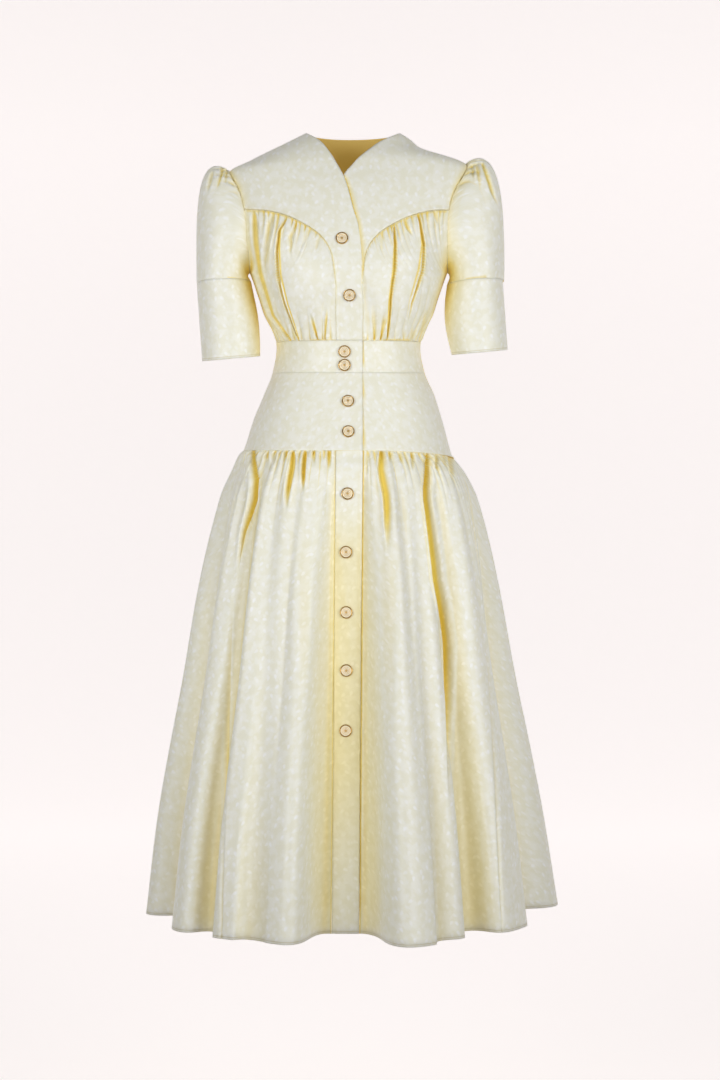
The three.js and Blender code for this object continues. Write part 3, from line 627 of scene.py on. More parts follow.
def bodice_front_surface(name):
    side = SIDE[name]
    edge, band = yoke_seams(name, SEAM)
    outer = chain(
        (ARMHOLE_SHARE["front"], lambda t: armhole_edge(name, "front", mix(YOKE_CORNER[name], math.pi, t))),
        (1 - ARMHOLE_SHARE["front"], side_edge(name, "front")),
    )

    def waist(t):
        angle = mix(band(1.0)[0], outer(1.0)[0], t)
        return angle, waist_top(angle) + SEAM

    inside = patch(lambda t: edge(1 - t), waist, band, outer)

    def surface(u, v):
        share = 1 - u if side < 0 else u
        angle, z = inside(share, v)
        swell = smooth(0, 0.35, v) * smooth(1, 0.6, v)
        quick = smooth(0, 0.07, v) * smooth(1, 0.93, v)
        fullness = (6.5 * swell + 2.5 * quick) * smooth(0.02, 0.2, share) * (1 - smooth(0.7, 1, share))
        down, up = v * GATHERED_HEIGHT["front"], (1 - v) * GATHERED_HEIGHT["front"]
        waves = gathers(share, 23, SEED["yoke gathers"] + side, down, depth=6.0, start=4, reach=14)
        waves = waves * smooth(1.0, 0.93, share) * smooth(0.3, 0.5, share)
        waves = waves + gathers(share, 13, SEED["waist gathers"] + side, up, depth=5.0, start=5, reach=24)
        x = on_figure(angle, z)[..., 0]
        creases = creases_at(f"bodice_front_{name}", x, z)[0]
        creases = creases * smooth(0, 0.05, v) * smooth(1, 0.975, v)
        drape = 1.7 * soft_noise(share * 13, v * 2.6, SEED["bodice drape"] + side) * swell
        settled = smooth(0, 0.035, np.minimum(share - 0.01, 1 - share))
        lap = lap_under(np.abs(angle)) if side > 0 else 0.0
        sewn = stitched_gathers(share, 36, SEED["yoke stitches"] + side, down) * smooth(0.9, 0.75, share)
        waves = waves + sewn + stitched_gathers(share, 34, SEED["waist stitches"] + side, up)
        edges = tuck_in(down, 0.5, 1.2) + tuck_in(up, 0.8, 1.4) + tuck_in(share * 100, 0.5, 1.2)
        return on_figure(angle, z, fullness + (waves + creases + drape) * settled + lap + edges)

    return surface


def bodice_back_surface():
    def outer(name):
        return chain(
            (ARMHOLE_SHARE["back"], lambda t: armhole_edge(name, "back", math.pi * t)),
            (1 - ARMHOLE_SHARE["back"], side_edge(name, "back")),
        )

    left, right = shoulder_edge("left", "back"), shoulder_edge("right", "back")
    neck = straight(left(0.0), right(0.0))
    top = chain((0.25, lambda t: left(1 - t)), (0.5, neck), (0.25, right))
    start, end = outer("left"), outer("right")
    inside = patch(top, straight(start(1.0), end(1.0)), start, end)

    def surface(u, v):
        angle, z = inside(u, v)
        up = (1 - v) * GATHERED_HEIGHT["back"]
        waves = gathers(u, 26, SEED["back gathers"], up, depth=3.6, start=7, reach=34)
        waves = waves * smooth(0.02, 0.12, u) * smooth(0.98, 0.88, u)
        off_sides = smooth(0, 0.1, u) * smooth(1, 0.9, u)
        blouse = 5.0 * smooth(0, 30, up) * smooth(120, 45, up) * off_sides
        drape = 1.5 * soft_noise(u * 14, v * 3, SEED["back drape"]) * smooth(0.1, 0.4, v) * off_sides
        return on_figure(angle, z, waves + blouse + drape + tuck_in(up, 1.2, 2.5))

    return surface


def band_surface(start, end, top, bottom, seed, lap=None):
    """A waistband or hip yoke panel between two heights by angle and two edges by height."""
    def surface(u, v):
        middle = mix(start(top(0.0)), end(top(0.0)), u)
        z = mix(top(middle), bottom(middle), v)
        angle = mix(start(z), end(z), u)
        from_top, from_bottom = np.abs(top(middle) - z), np.abs(z - bottom(middle))
        edges = tuck_in(from_top, 0.12, 1.2) + tuck_in(from_bottom, 0.12, 1.2)
        ripple = 0.5 * soft_noise(angle / 10, z / 22, seed)
        return on_figure(angle, z, edges + ripple + (lap(angle) if lap else 0.0))

    return surface


# ---- skirt ----

def down_skirt(z):
    """0 at the hip seam in front, 1 at the hem."""
    return np.clip((HIP_SEAM["front"] - z) / (HIP_SEAM["front"] - HEM), 0, 1)


def on_skirt(angle, z, out=0.0):
    """Points on the skirt with its large folds."""
    turned = np.where(angle < SKIRT_FOLDS[0, 0], angle + 360, angle)
    i = np.clip(np.searchsorted(SKIRT_FOLDS[:, 0], turned, side="right"), 1, len(SKIRT_FOLDS) - 1)
    start, end = SKIRT_FOLDS[i - 1], SKIRT_FOLDS[i]
    width = end[..., 0] - start[..., 0]
    share = (turned - start[..., 0]) / width
    growth = down_skirt(z) ** 0.7
    depth = mix(start[..., 1], end[..., 1], (1 - np.cos(math.pi * share)) / 2)
    roll = FOLD_ROLL * growth * np.sin(2 * math.pi * share) * width
    roll = np.where(start[..., 1] == end[..., 1], 0, roll)
    return on_figure(turned + roll, z, depth * growth + out)


def skirt_angle_at(x, z):
    """The angle near the centre front where the skirt is at an x."""
    z = np.asarray(z, dtype=float)
    angle = np.zeros_like(z)
    for _ in range(12):
        here = on_skirt(angle, z)[..., 0]
        rate = (on_skirt(angle + 0.1, z)[..., 0] - here) / 0.1
        angle = angle + (x - here) / rate
    return angle


def band_line(x):
    """A line down the skirt's bands, leaning to the right on the way to the hem."""
    return lambda z: skirt_angle_at(x + BAND_LEAN * down_skirt(z), z)


def skirt_surface(node, start, end, count, seed, lap=None):
    """A skirt panel between two upright edges, gathered into the hip seam."""
    def surface(u, v):
        middle = mix(start(np.float64(HIP_SEAM["front"])), end(np.float64(HIP_SEAM["front"])), u)
        top = hip_seam(middle) - SEAM
        z = mix(top, HEM, v)
        angle = mix(start(z), end(z), u)
        fall = top - z
        relief = tuck_in(fall, 0.7, 1.6)
        if count:
            relief = relief + gathers(u, count, seed, fall, depth=6.5, start=4, reach=26)
            relief = relief + stitched_gathers(u, round(count * 2.3), seed + 2, fall, 8.0)
            relief = relief + 3.0 * soft_noise(u * count * 2.3, fall / 260, seed + 1) * smooth(8, 90, fall)
            settled = smooth(0, 0.03, np.minimum(u, 1 - u))
            x = on_skirt(angle, z)[..., 0]
            relief = (relief + creases_at(node, x, z)[0]) * settled
            # the cloth puckers along its seam with the button band
            strip = smooth(16, 11, u * 250) if node == "skirt_front_left" else smooth(18, 13, (1 - u) * 250)
            pucker = 0.5 * np.sin(fall / 2.6 + 2.5 * np.sin(fall / 23)) + 0.4 * np.sin(fall / 7.3)
            relief = relief + strip * pucker * smooth(30, 90, fall)
        else:
            relief = relief + 0.6 * soft_noise(u * 2, fall / 40, seed)
        return on_skirt(angle, z, relief + (lap(angle) if lap else 0.0))

    return surface


# ---- sleeves ----

def ring_point(ring, side, turn, drop=0.0):
    """A point of a sleeve's ring by its turn, from 0 at the outer side over the front."""
    reach = np.cos(turn)
    x = side * (ring["x"] + ring["half_x"] * reach)
    y = ring["y"] - ring["half_y"] * np.sin(turn)
    z = ring["z"] - drop + ring["tilt"] / 2 * reach - ring.get("rise", 0.0) * np.sin(turn)
    return np.stack([x, y, z], axis=-1)


def sleeve_surface(name):
    """The upper sleeve, from the armhole over its puffed head to the seam of the lower panel."""
    side, sleeve = SIDE[name], SLEEVES[name]

    def surface(u, v):
        turn = 2 * math.pi * (u if side > 0 else -u)
        top = (1 + np.cos(turn)) / 2
        start = on_figure(*armhole_place(name, turn, SLEEVE_INSET))
        lead = np.stack([
            side * mix(9, PUFF["out"], top),
            -PUFF["round"] * np.sin(turn) * (0.3 + 0.7 * top),
            mix(-6, PUFF["up"], top ** 1.5),
        ], axis=-1)
        end = ring_point(sleeve["seam"], side, turn)
        rise = np.stack([0 * top, 0 * top, mix(5, 92, top)], axis=-1)
        t = v[..., None]
        point = (1 - t) ** 3 * start + 3 * (1 - t) ** 2 * t * (start + lead)
        point = point + 3 * (1 - t) * t * t * (end + rise) + t ** 3 * end
        length = mix(30, 215, top)
        down = v * length
        from_underarm = np.mod(u + 0.5, 1)
        waves = gathers(from_underarm, 26, SEED["sleeve gathers"] + side, down, depth=8.0, start=7, reach=26)
        waves = waves * smooth(0.6, 0.85, top)
        drape = 2.0 * soft_noise(np.cos(turn) * 4, np.sin(turn) * 4 + v * 4, SEED["sleeve drape"] + side)
        drape = drape * smooth(0, 0.3, v) * top
        tuck = tuck_in(down, 0.3, 1.5) + tuck_in((1 - v) * length, 0.35, 1.2)
        outward = -grid_normals(point, True)
        creases = creases_at(f"sleeve_{name}", point[..., 0], point[..., 2])[0]
        creases = creases * before_middle(point[..., 1])
        return point + outward * (waves + drape + tuck + creases)[..., None]

    return surface


def cuff_surface(name):
    """The lower sleeve panel, hanging straight to its hem."""
    side, sleeve = SIDE[name], SLEEVES[name]

    def surface(u, v):
        turn = 2 * math.pi * (u if side > 0 else -u)
        inner = (1 - np.cos(turn)) / 2
        start, end = ring_point(sleeve["seam"], side, turn, -CUFF_LAP), ring_point(sleeve["hem"], side, turn)
        point = mix(start, end, v[..., None])
        ripple = soft_noise(np.cos(turn) * 2.5, np.sin(turn) * 2.5 + v * 2, SEED["cuff"] + side)
        out = ripple * smooth(0, 0.2, v) + CUFF_STEP * np.exp(-v * CUFF_LENGTH / 4)
        away = np.stack([side * np.cos(turn), -np.sin(turn), 0 * turn], axis=-1)
        point = point + away * out[..., None]
        point[..., 0] -= side * sleeve["bow"] * inner * np.sin(math.pi * v)
        return point

    return surface


# ---- meshes ----

def link(mesh, name):
    piece = bpy.data.objects.new(name, mesh)
    bpy.context.scene.collection.objects.link(piece)
    return piece


def select_only(piece):
    bpy.ops.object.select_all(action="DESELECT")
    piece.select_set(True)
    bpy.context.view_layer.objects.active = piece


PANELS = []  # each cloth piece with its node's name, its grid of outer points and how its faces run


def ways(points, closed):
    """The way along each row of a grid, on round to its start where it is closed, and down each column."""
    loop = np.concatenate([points, points[:, :1]], axis=1) if closed else points
    along_row, down_column = (np.linalg.norm(np.diff(loop, axis=axis), axis=-1) for axis in (1, 0))
    across = np.concatenate([np.zeros((len(loop), 1)), np.cumsum(along_row, axis=1)], axis=1)
    return across, np.concatenate([np.zeros((1, loop.shape[1])), np.cumsum(down_column, axis=0)])


def figure_chart(points):
    """A bodice panel laid flat: the way round the figure from its centre front or back, and the height."""
    x, y, z = points[..., 0], points[..., 1], points[..., 2]
    across, deep = half_width(x, z), half_depth(y, z)
    turn = np.arctan2(np.abs(x) / across, np.abs(y) / deep)
    steps = (np.arange(CHART_STEPS) + 0.5) / CHART_STEPS
    way = sum(np.hypot(across * np.cos(turn * step), deep * np.sin(turn * step)) for step in steps)
    way = way * turn / CHART_STEPS
    return np.sign(x) * way, z - z.min()


def woven_chart(points, closed):
    """A panel laid flat along its own grid: the way across from its middle column, and up from its hem."""
    across, down = ways(points, closed)
    if closed:
        across = np.broadcast_to(across[-1:], across.shape)
    return across - across[:, points.shape[1] // 2][:, None], down[-1:] - down


def sheet_piece(name, surface, columns, rows, material, dense_top=1.0, closed=False, flip=False, chart=None):
    """A panel as a thin shell of cloth with a UV map in metres of cloth."""
    u = np.linspace(0, 1, columns + 1)
    if closed:
        u = u[:-1]
    v = np.linspace(0, 1, rows + 1) ** dense_top
    grid_u, grid_v = np.meshgrid(u, v)
    points = surface(grid_u, grid_v)
    high, wide = grid_u.shape
    index = np.arange(high * wide).reshape(high, wide)
    right = np.roll(index, -1, axis=1) if closed else index[:, 1:]
    left = index if closed else index[:, :-1]
    quads = np.stack([left[:-1], left[1:], right[1:], right[:-1]], axis=-1).reshape(-1, 4)
    if flip:
        quads = quads[:, ::-1]
    mesh = bpy.data.meshes.new(name)
    mesh.from_pydata((points.reshape(-1, 3) * MM).tolist(), [], quads.tolist())
    across, down = chart(points) if chart else woven_chart(points, closed)
    flat, ends = np.stack([across, down], axis=-1), np.array([high - 1, left.shape[1]])
    corners = ((0, 0), (1, 0), (1, 1), (0, 1))
    uv = np.stack([flat[i:i + ends[0], j:j + ends[1]] for i, j in corners], axis=2)
    if flip:
        uv = uv[:, :, ::-1]
    layer = mesh.uv_layers.new(name="cloth")
    layer.data.foreach_set("uv", (uv.reshape(-1) * MM).astype(np.float32))
    mesh.materials.append(material)
    mesh.polygons.foreach_set("use_smooth", np.ones(len(mesh.polygons), dtype=bool))
    mesh.update()
    piece = link(mesh, name)
    one_layer = sum(face.area for face in mesh.polygons)
    select_only(piece)
    shell = piece.modifiers.new("cloth thickness", "SOLIDIFY")
    shell.thickness = bpy.context.scene.dress.cloth_thickness
    shell.offset = -1
    bpy.ops.object.modifier_apply(modifier=shell.name)
    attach(piece, "root")
    panel = {"piece": piece, "points": points, "closed": closed, "flip": flip, "faces": quads}
    width, length = (way.max() * MM for way in ways(points, closed))
    return panel, (width, length), one_layer


def cloth_panel(name, surface, held, rests_on, hemmed=False, **options):
    """A cloth panel that stands for its node of the frame."""
    grid = GRIDS[name] if name in GRIDS else GRIDS[name.rpartition("_")[0]]
    panel, flat, area = sheet_piece(f"{name}_cloth", surface, *grid, cloth_material(hemmed), **options)
    PANELS.append({"node": name, **panel})
    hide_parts(name)


def enclosure(points, normals, tree):
    """How much cloth stands before each point, 0 open to 1 closed in, cast with rays as the ground of the
    painted shade.
    """
    random = np.random.default_rng(SEED["rays"])
    radius, turn = np.sqrt(random.uniform(0, 1, RAYS)), random.uniform(0, 2 * math.pi, RAYS)
    local = np.stack([radius * np.cos(turn), radius * np.sin(turn), np.sqrt(1 - radius ** 2)], axis=-1)
    result = np.zeros(len(points))
    for i, (point, normal) in enumerate(zip(points, normals)):
        side = np.cross(normal, (0.31, 0.17, 0.93))
        side /= np.linalg.norm(side)
        basis = np.stack([side, np.cross(normal, side), normal])
        origin = Vector((point + normal * 0.8).tolist())
        total = 0.0
        for ray in (local @ basis).tolist():
            distance = tree.ray_cast(origin, ray, OPEN_REACH)[3]
            if distance is not None:
                total += 1 - distance / OPEN_REACH
        result[i] = total / RAYS
    return result


# ---- materials ----

class Shading:
    """A new material whose nodes are added and joined in few words."""

    def __init__(self, name):
        self.material = bpy.data.materials.new(name)
        self.material.use_nodes = True
        self.tree = self.material.node_tree

    def feed(self, node, inputs):
        """Sets a node's inputs, or joins them to another node's output."""
        for socket, value in inputs.items():
            if isinstance(value, bpy.types.NodeSocket):
                self.tree.links.new(value, node.inputs[socket])
            else:
                node.inputs[socket].default_value = value

    def add(self, kind, inputs=None, **options):
        node = self.tree.nodes.new(f"ShaderNode{kind}")
        for option, value in options.items():
            setattr(node, option, value)
        self.feed(node, inputs or {})
        return node

    def maths(self, operation, *values):
        return self.add("Math", dict(enumerate(values)), operation=operation).outputs[0]

    def blend(self, factor, first, second, mode="MIX"):
        inputs = {"Factor": factor, "A": first, "B": second}
        return self.add("Mix", inputs, data_type="RGBA", blend_type=mode).outputs["Result"]

    def smooth_range(self, value, start, end, low=0.0, high=1.0):
        inputs = {"Value": value, "From Min": start, "From Max": end, "To Min": low, "To Max": high}
        return self.add("MapRange", inputs, interpolation_type="SMOOTHSTEP").outputs["Result"]

    def noise(self, place, scale, detail, **options):
        inputs = {"Vector": place, "Scale": scale, "Detail": detail}
        return self.add("TexNoise", inputs, **options).outputs["Fac"]

    def finish(self, inputs):
        self.feed(self.tree.nodes["Principled BSDF"], inputs)
        return self.material


def shaded(colour, shades):
    """A colour with its channels multiplied, opaque."""
    return (*[channel * shade for channel, shade in zip(colour, shades)], 1.0)


def petals(cloth, place, pitch, length, offset):
    """Tossed petals over a chart: how much each point is petal, and its petal's own random number."""
    place = cloth.add("Mapping", {"Vector": place, "Location": (offset, offset * 0.7, 0)}).outputs["Vector"]
    cells = cloth.add("TexVoronoi", {"Vector": place, "Scale": 1 / pitch, "Randomness": PETAL["jitter"]},
                      voronoi_dimensions="2D").outputs
    local = cloth.add("VectorMath", {0: place, 1: cells["Position"]}, operation="SUBTRACT").outputs[0]
    own = cloth.add("SeparateColor", {"Color": cells["Color"]}).outputs
    turn = cloth.maths("MULTIPLY_ADD", own["Red"], 2 * PETAL["turn"], -PETAL["turn"])
    turned = cloth.add("VectorRotate", {"Vector": local, "Angle": turn}, rotation_type="Z_AXIS").outputs[0]
    axes = cloth.add("SeparateXYZ", {0: turned}).outputs
    along = cloth.maths("DIVIDE", axes["Y"], length / 2)
    width = cloth.maths("MULTIPLY_ADD", along, length * PETAL["taper"], length * PETAL["width"])
    across = cloth.maths("DIVIDE", axes["X"], width)
    squares = [cloth.maths("MULTIPLY", axis, axis) for axis in (along, across)]
    return cloth.smooth_range(cloth.maths("ADD", *squares), *PETAL["edge"]), own["Green"]


def cloth_colour(cloth, place, petal, painted_shade, settings):
    """Two tones of ground under threads and petals, with painted shade: warmer gold where closed in, and gold
    on the wrong side.
    """
    ground = settings.ground_colour
    light = [mix(channel, white, GROUND["lighter"]) for channel, white in zip(ground, settings.petal_colour)]
    clouds = cloth.noise(place, GROUND["patch scale"], 2.0, noise_dimensions="2D")
    patches = cloth.smooth_range(clouds, *GROUND["patches"])
    colour = cloth.blend(patches, shaded(ground, GROUND["darker"]), (*light, 1.0))
    along_threads = cloth.add("Mapping", {"Vector": place, "Scale": THREADS["scale"]}).outputs["Vector"]
    threads = cloth.noise(along_threads, 1.0, 2.0, noise_dimensions="2D")
    threads = cloth.maths("MULTIPLY", threads, THREADS["share"])
    colour = cloth.blend(threads, colour, shaded(ground, THREADS["shades"]))
    colour = cloth.blend(petal, colour, (*settings.petal_colour, 1.0))
    # painted shade: the colour is tinted towards gold by how closed in the cloth is
    shade_tint = cloth.add("ValToRGB", {"Fac": painted_shade})
    while len(shade_tint.color_ramp.elements) < len(PAINTED_SHADE_TINTS):
        shade_tint.color_ramp.elements.new(0.5)
    for element, (stop, tint) in zip(shade_tint.color_ramp.elements, PAINTED_SHADE_TINTS):
        element.position = stop
        element.color = (*tint, 1)
    colour = cloth.blend(1.0, colour, shade_tint.outputs["Color"], "MULTIPLY")
    wrong_side = cloth.smooth_range(painted_shade, 1.2, 1.8)
    return cloth.blend(wrong_side, colour, (*settings.wrong_side_shade_colour, 1.0)), wrong_side


def cloth_material(hemmed=False):
    """Cream satin jacquard: small tossed petals, whiter than the ground, over a fine weave."""
    name = "hemmed cream jacquard" if hemmed else "cream jacquard"
    if name in bpy.data.materials:
        return bpy.data.materials[name]
    settings = bpy.context.scene.dress
    cloth = Shading(name)
    place = cloth.add("UVMap", uv_map="cloth").outputs["UV"]
    layers = []
    for spacing, size, offset, variety, least in PETAL_LAYERS:
        pitch, length = settings.petal_pitch * spacing, settings.petal_length * size
        petal, own = petals(cloth, place, pitch, length, offset)
        layers.append(cloth.maths("MULTIPLY", petal, cloth.maths("MULTIPLY_ADD", own, variety, least)))
    petal = cloth.maths("MAXIMUM", *layers)
    weave = cloth.add("TexWave", {"Vector": place, **WEAVE}, bands_direction="DIAGONAL").outputs["Fac"]
    painted_shade = cloth.add("Attribute", attribute_name="painted_shade").outputs["Fac"]
    colour, wrong_side = cloth_colour(cloth, place, petal, painted_shade, settings)
    height = cloth.maths("MULTIPLY_ADD", weave, 0.1, cloth.maths("MULTIPLY", petal, 0.5))
    if hemmed:
        above_hem = cloth.add("SeparateXYZ", {0: place}).outputs["Y"]
        from_stitch = cloth.maths("ABSOLUTE", cloth.maths("SUBTRACT", above_hem, HEM_STITCH["height"]))
        stitch = cloth.smooth_range(from_stitch, *HEM_STITCH["fade"])
        thread = shaded(settings.ground_colour, HEM_STITCH["shades"])
        colour = cloth.blend(cloth.maths("MULTIPLY", stitch, 0.55), colour, thread)
        height = cloth.maths("SUBTRACT", height, cloth.maths("MULTIPLY", stitch, 2.0))
    bump = cloth.add("Bump", {"Strength": 0.35, "Distance": 0.0004, "Height": height}).outputs["Normal"]
    # painted glow: a gold emission where the cloth is closed in and on its wrong side, standing in for light
    # bounced between folds and shining through the cloth
    painted_glow = cloth.maths("MULTIPLY", cloth.smooth_range(painted_shade, 0.3, 0.95),
                       cloth.maths("MULTIPLY_ADD", wrong_side, -0.01, 0.1))
    return cloth.finish({
        "Base Color": colour, "Roughness": cloth.smooth_range(petal, 0.0, 1.0, 0.5, 0.36), "Normal": bump,
        "Emission Color": (1.0, 0.74, 0.16, 1), "Emission Strength": painted_glow,
        "Sheen Weight": 0.2, "Sheen Roughness": 0.35, "Specular IOR Level": 0.6,
    })


def metal_material(name, colour, metallic, polish):
    """Polished or lacquered plate with faint wear."""
    metal = Shading(name)
    wear = metal.noise(metal.add("TexCoord").outputs["Object"], 900.0, 3.0)
    worn = {"Value": wear, "To Min": polish, "To Max": polish + 0.15}
    rough = metal.add("MapRange", worn).outputs["Result"]
    tone = metal.blend(wear, (*colour, 1), shaded(colour, (0.82, 0.82, 0.82)))
    return metal.finish({"Base Color": tone, "Roughness": rough, "Metallic": metallic})


# ---- settings ----

class DressSettings(PropertyGroup):
    """The sizes and colours that a user would change"""
    cloth_thickness: FloatProperty(
        name="Cloth thickness", description="Thickness of the jacquard with its turned edges",
        default=0.0009, min=0.0003, max=0.002, unit="LENGTH")
    petal_pitch: FloatProperty(
        name="Petal pitch", description="Mean distance between the woven petals",
        default=0.0145, min=0.005, max=0.05, unit="LENGTH")
    petal_length: FloatProperty(
        name="Petal length", description="Length of a woven petal",
        default=0.0072, min=0.002, max=0.03, unit="LENGTH")
    ground_colour: FloatVectorProperty(
        name="Ground colour", description="Colour of the jacquard's ground",
        default=(0.825, 0.823, 0.715), min=0, max=1, subtype="COLOR")
    petal_colour: FloatVectorProperty(
        name="Petal colour", description="Colour of the woven petals",
        default=(0.93, 0.945, 0.96), min=0, max=1, subtype="COLOR")
    # Painted shade: the gold of the wrong side stands in for the shade inside the dress and the light shining
    # through the cloth
    wrong_side_shade_colour: FloatVectorProperty(
        name="Wrong side colour", description="Colour of the cloth's golden wrong side",
        default=(0.70, 0.54, 0.19), min=0, max=1, subtype="COLOR")
    metal_colour: FloatVectorProperty(
        name="Metal colour", description="Colour of the buttons' gold plate",
        default=(0.86, 0.58, 0.22), min=0, max=1, subtype="COLOR")
    centre_colour: FloatVectorProperty(
        name="Button centre colour", description="Colour of the paler plate inside a button's rim",
        default=(0.95, 0.87, 0.68), min=0, max=1, subtype="COLOR")


# ---- operators ----

class DRESS_OT_stage(Operator):
    """Add the camera, the pale floor and the soft studio light"""
    bl_idname = "dress.stage"
    bl_label = "Stage"

    def execute(self, context):
        scene = context.scene
        camera = bpy.data.cameras.new("camera")
        camera.sensor_width = CAMERA["sensor"]
        camera.sensor_fit = "AUTO"
        camera.lens = CAMERA["sensor"] * CAMERA["distance"] / CAMERA["high"]
        camera.clip_end = 60.0
        holder = bpy.data.objects.new("camera", camera)
        holder.location = (CAMERA["x"] * MM, -CAMERA["distance"] * MM, CAMERA["z"] * MM)
        holder.rotation_euler = (math.pi / 2, 0, 0)
        scene.collection.objects.link(holder)
        scene.camera = holder
        self.floor()
        for lamp in LAMPS:
            self.light(*lamp)
        world = bpy.data.worlds.new("studio")
        world.use_nodes = True
        for socket, value in STUDIO.items():
            world.node_tree.nodes["Background"].inputs[socket].default_value = value
        scene.world = world
        scene.view_settings.view_transform = "Standard"
        return {"FINISHED"}

    def floor(self):
        bpy.ops.object.select_all(action="DESELECT")
        bpy.ops.mesh.primitive_plane_add(size=FLOOR["size"], location=(0, 0, FLOOR["height"]))
        floor = bpy.context.object
        floor.name = "floor"
        bpy.ops.object.mode_set(mode="EDIT")
        mesh = bmesh.from_edit_mesh(floor.data)
        bpy.ops.mesh.select_all(action="DESELECT")
        bpy.ops.mesh.select_mode(type="EDGE")
        for edge in mesh.edges:
            edge.select_set(all(vertex.co.y > 1 for vertex in edge.verts))
        bmesh.update_edit_mesh(floor.data)
        bpy.ops.mesh.extrude_region_move(TRANSFORM_OT_translate={"value": (0, 0, FLOOR["wall"])})
        bpy.ops.object.mode_set(mode="OBJECT")
        bevel = floor.modifiers.new("sweep", "BEVEL")
        bevel.width = FLOOR["sweep"]
        bevel.segments = 16
        bpy.ops.object.modifier_apply(modifier=bevel.name)
        bpy.ops.object.shade_smooth()
        bpy.ops.object.transform_apply(location=True, rotation=True, scale=True)
        pale = Shading("pale floor")
        behind = pale.add("SeparateXYZ", {0: pale.add("TexCoord").outputs["Object"]}).outputs["Y"]
        floor.data.materials.append(pale.finish({
            "Base Color": FLOOR["colour"], "Roughness": 0.9, "Emission Color": FLOOR_GLOW["colour"],
            "Emission Strength": pale.smooth_range(behind, *FLOOR_GLOW["range"]),
        }))

    def light(self, name, place, size, power):
        lamp = bpy.data.lights.new(name, "AREA")
        lamp.size = size
        lamp.energy = power
        lamp.color = LAMP_COLOUR
        lamp.spread = LAMP_SPREAD
        holder = bpy.data.objects.new(name, lamp)
        holder.location = place
        aim = Vector(LAMP_AIM) - Vector(place)
        holder.rotation_euler = aim.to_track_quat("-Z", "Y").to_euler()
        bpy.context.scene.collection.objects.link(holder)


class DRESS_OT_bodice(Operator):
    """Sew the front yokes, the gathered fronts and the back"""
    bl_idname = "dress.bodice"
    bl_label = "Bodice"

    def execute(self, context):
        for name in SIDE:
            yoke = f"yoke_front_{name}"
            cloth_panel(yoke, yoke_surface(name), "stretched", ["bodice_back"], chart=figure_chart)
            cloth_panel(f"bodice_front_{name}", bodice_front_surface(name), "gathered", [yoke],
                        chart=figure_chart)
        cloth_panel("bodice_back", bodice_back_surface(), "stretched", ["waistband_back"], chart=figure_chart)
        return {"FINISHED"}


class DRESS_OT_waist(Operator):
    """Sew the waistband and the hip yoke"""
    bl_idname = "dress.waist"
    bl_label = "Waistband and hip yoke"

    def execute(self, context):
        strips = [
            ("waistband", waist_top, waist_bottom, "bodice_back"),
            ("hip_yoke", lambda angle: waist_bottom(angle) - 2 * SEAM, hip_seam, "waistband_back"),
        ]
        ends = {
            "front_right": (at_side("right", "front"), at_x(LAP_EDGE)),
            "front_left": (at_x(BAND_SEAM), at_side("left", "front")),
            "back": (at_side("left", "back"), at_side("right", "back")),
        }
        for name, top, bottom, above in strips:
            for place, (start, end) in ends.items():
                lap = lap_under if place == "front_left" else None
                surface = band_surface(start, end, top, bottom, SEED[place], lap)
                cloth_panel(f"{name}_{place}", surface, "stretched", [above])
        return {"FINISHED"}


class DRESS_OT_skirt(Operator):
    """Gather the skirt's panels and sew on their button bands"""
    bl_idname = "dress.skirt"
    bl_label = "Skirt"

    def execute(self, context):
        panels = [
            ("skirt_front_right", at_side("right", "front"), band_line(BAND_SEAM - 0.3), 20, None),
            ("skirt_front_left", band_line(LAP_EDGE + 0.3), at_side("left", "front"), 20, lap_under),
            ("skirt_back", at_side("left", "back"), at_side("right", "back"), 34, None),
            ("skirt_band_right", band_line(BAND_SEAM), band_line(LAP_EDGE), 0, None),
            ("skirt_band_left", band_line(BAND_SEAM), band_line(LAP_EDGE), 0, lambda angle: -LAP),
        ]
        for name, start, end, count, lap in panels:
            surface = skirt_surface(name, start, end, count, SEED[name], lap)
            above = "hip_yoke_back" if name == "skirt_back" else f"hip_yoke_front_{name.split('_')[-1]}"
            cloth_panel(name, surface, "gathered", [above], hemmed=True, dense_top=1.6)
        return {"FINISHED"}


class DRESS_OT_sleeves(Operator):
    """Set in the puffed sleeves and sew on their lower panels"""
    bl_idname = "dress.sleeves"
    bl_label = "Sleeves"

    def execute(self, context):
        for name in SIDE:
            cloth_panel(f"sleeve_{name}", sleeve_surface(name), "gathered", [f"yoke_front_{name}"],
                        dense_top=1.25, closed=True, flip=True)
            cloth_panel(f"cuff_{name}", cuff_surface(name), "hung", [f"sleeve_{name}"],
                        hemmed=True, closed=True, flip=True)
        return {"FINISHED"}


def between(coarse, rows, columns, shape):
    """A coarse grid's values at every row and column of the whole grid."""
    every_column, every_row = np.arange(shape[1]), np.arange(shape[0])
    wide = np.stack([np.interp(every_column, columns, row) for row in coarse])
    return np.stack([np.interp(every_row, rows, column) for column in wide.T], axis=1)


def edge_distance(points, closed):
    """How far each place of a panel is from its nearest edge, along its grid."""
    across, down = ways(points, False)
    nearest = np.minimum(down, down[-1:] - down)
    return nearest if closed else np.minimum(nearest, np.minimum(across, across[:, -1:] - across))


def hollow(points, normals, closed):
    """How far each place lies, in millimetres, below the mean of the cloth 5 mm to either side of it."""
    step = np.linalg.norm(np.diff(points, axis=1), axis=-1).mean()
    reach = max(2, round(5 / step))
    padded = np.pad(points, ((0, 0), (reach, reach), (0, 0)), mode="wrap" if closed else "edge")
    mean = sum(padded[:, k:k + points.shape[1]] for k in range(2 * reach + 1)) / (2 * reach + 1)
    below = ((mean - points) * normals).sum(axis=-1)
    if not closed:
        column = np.arange(points.shape[1])
        below = below * smooth(0, reach, np.minimum(column, column[::-1]))
    return below


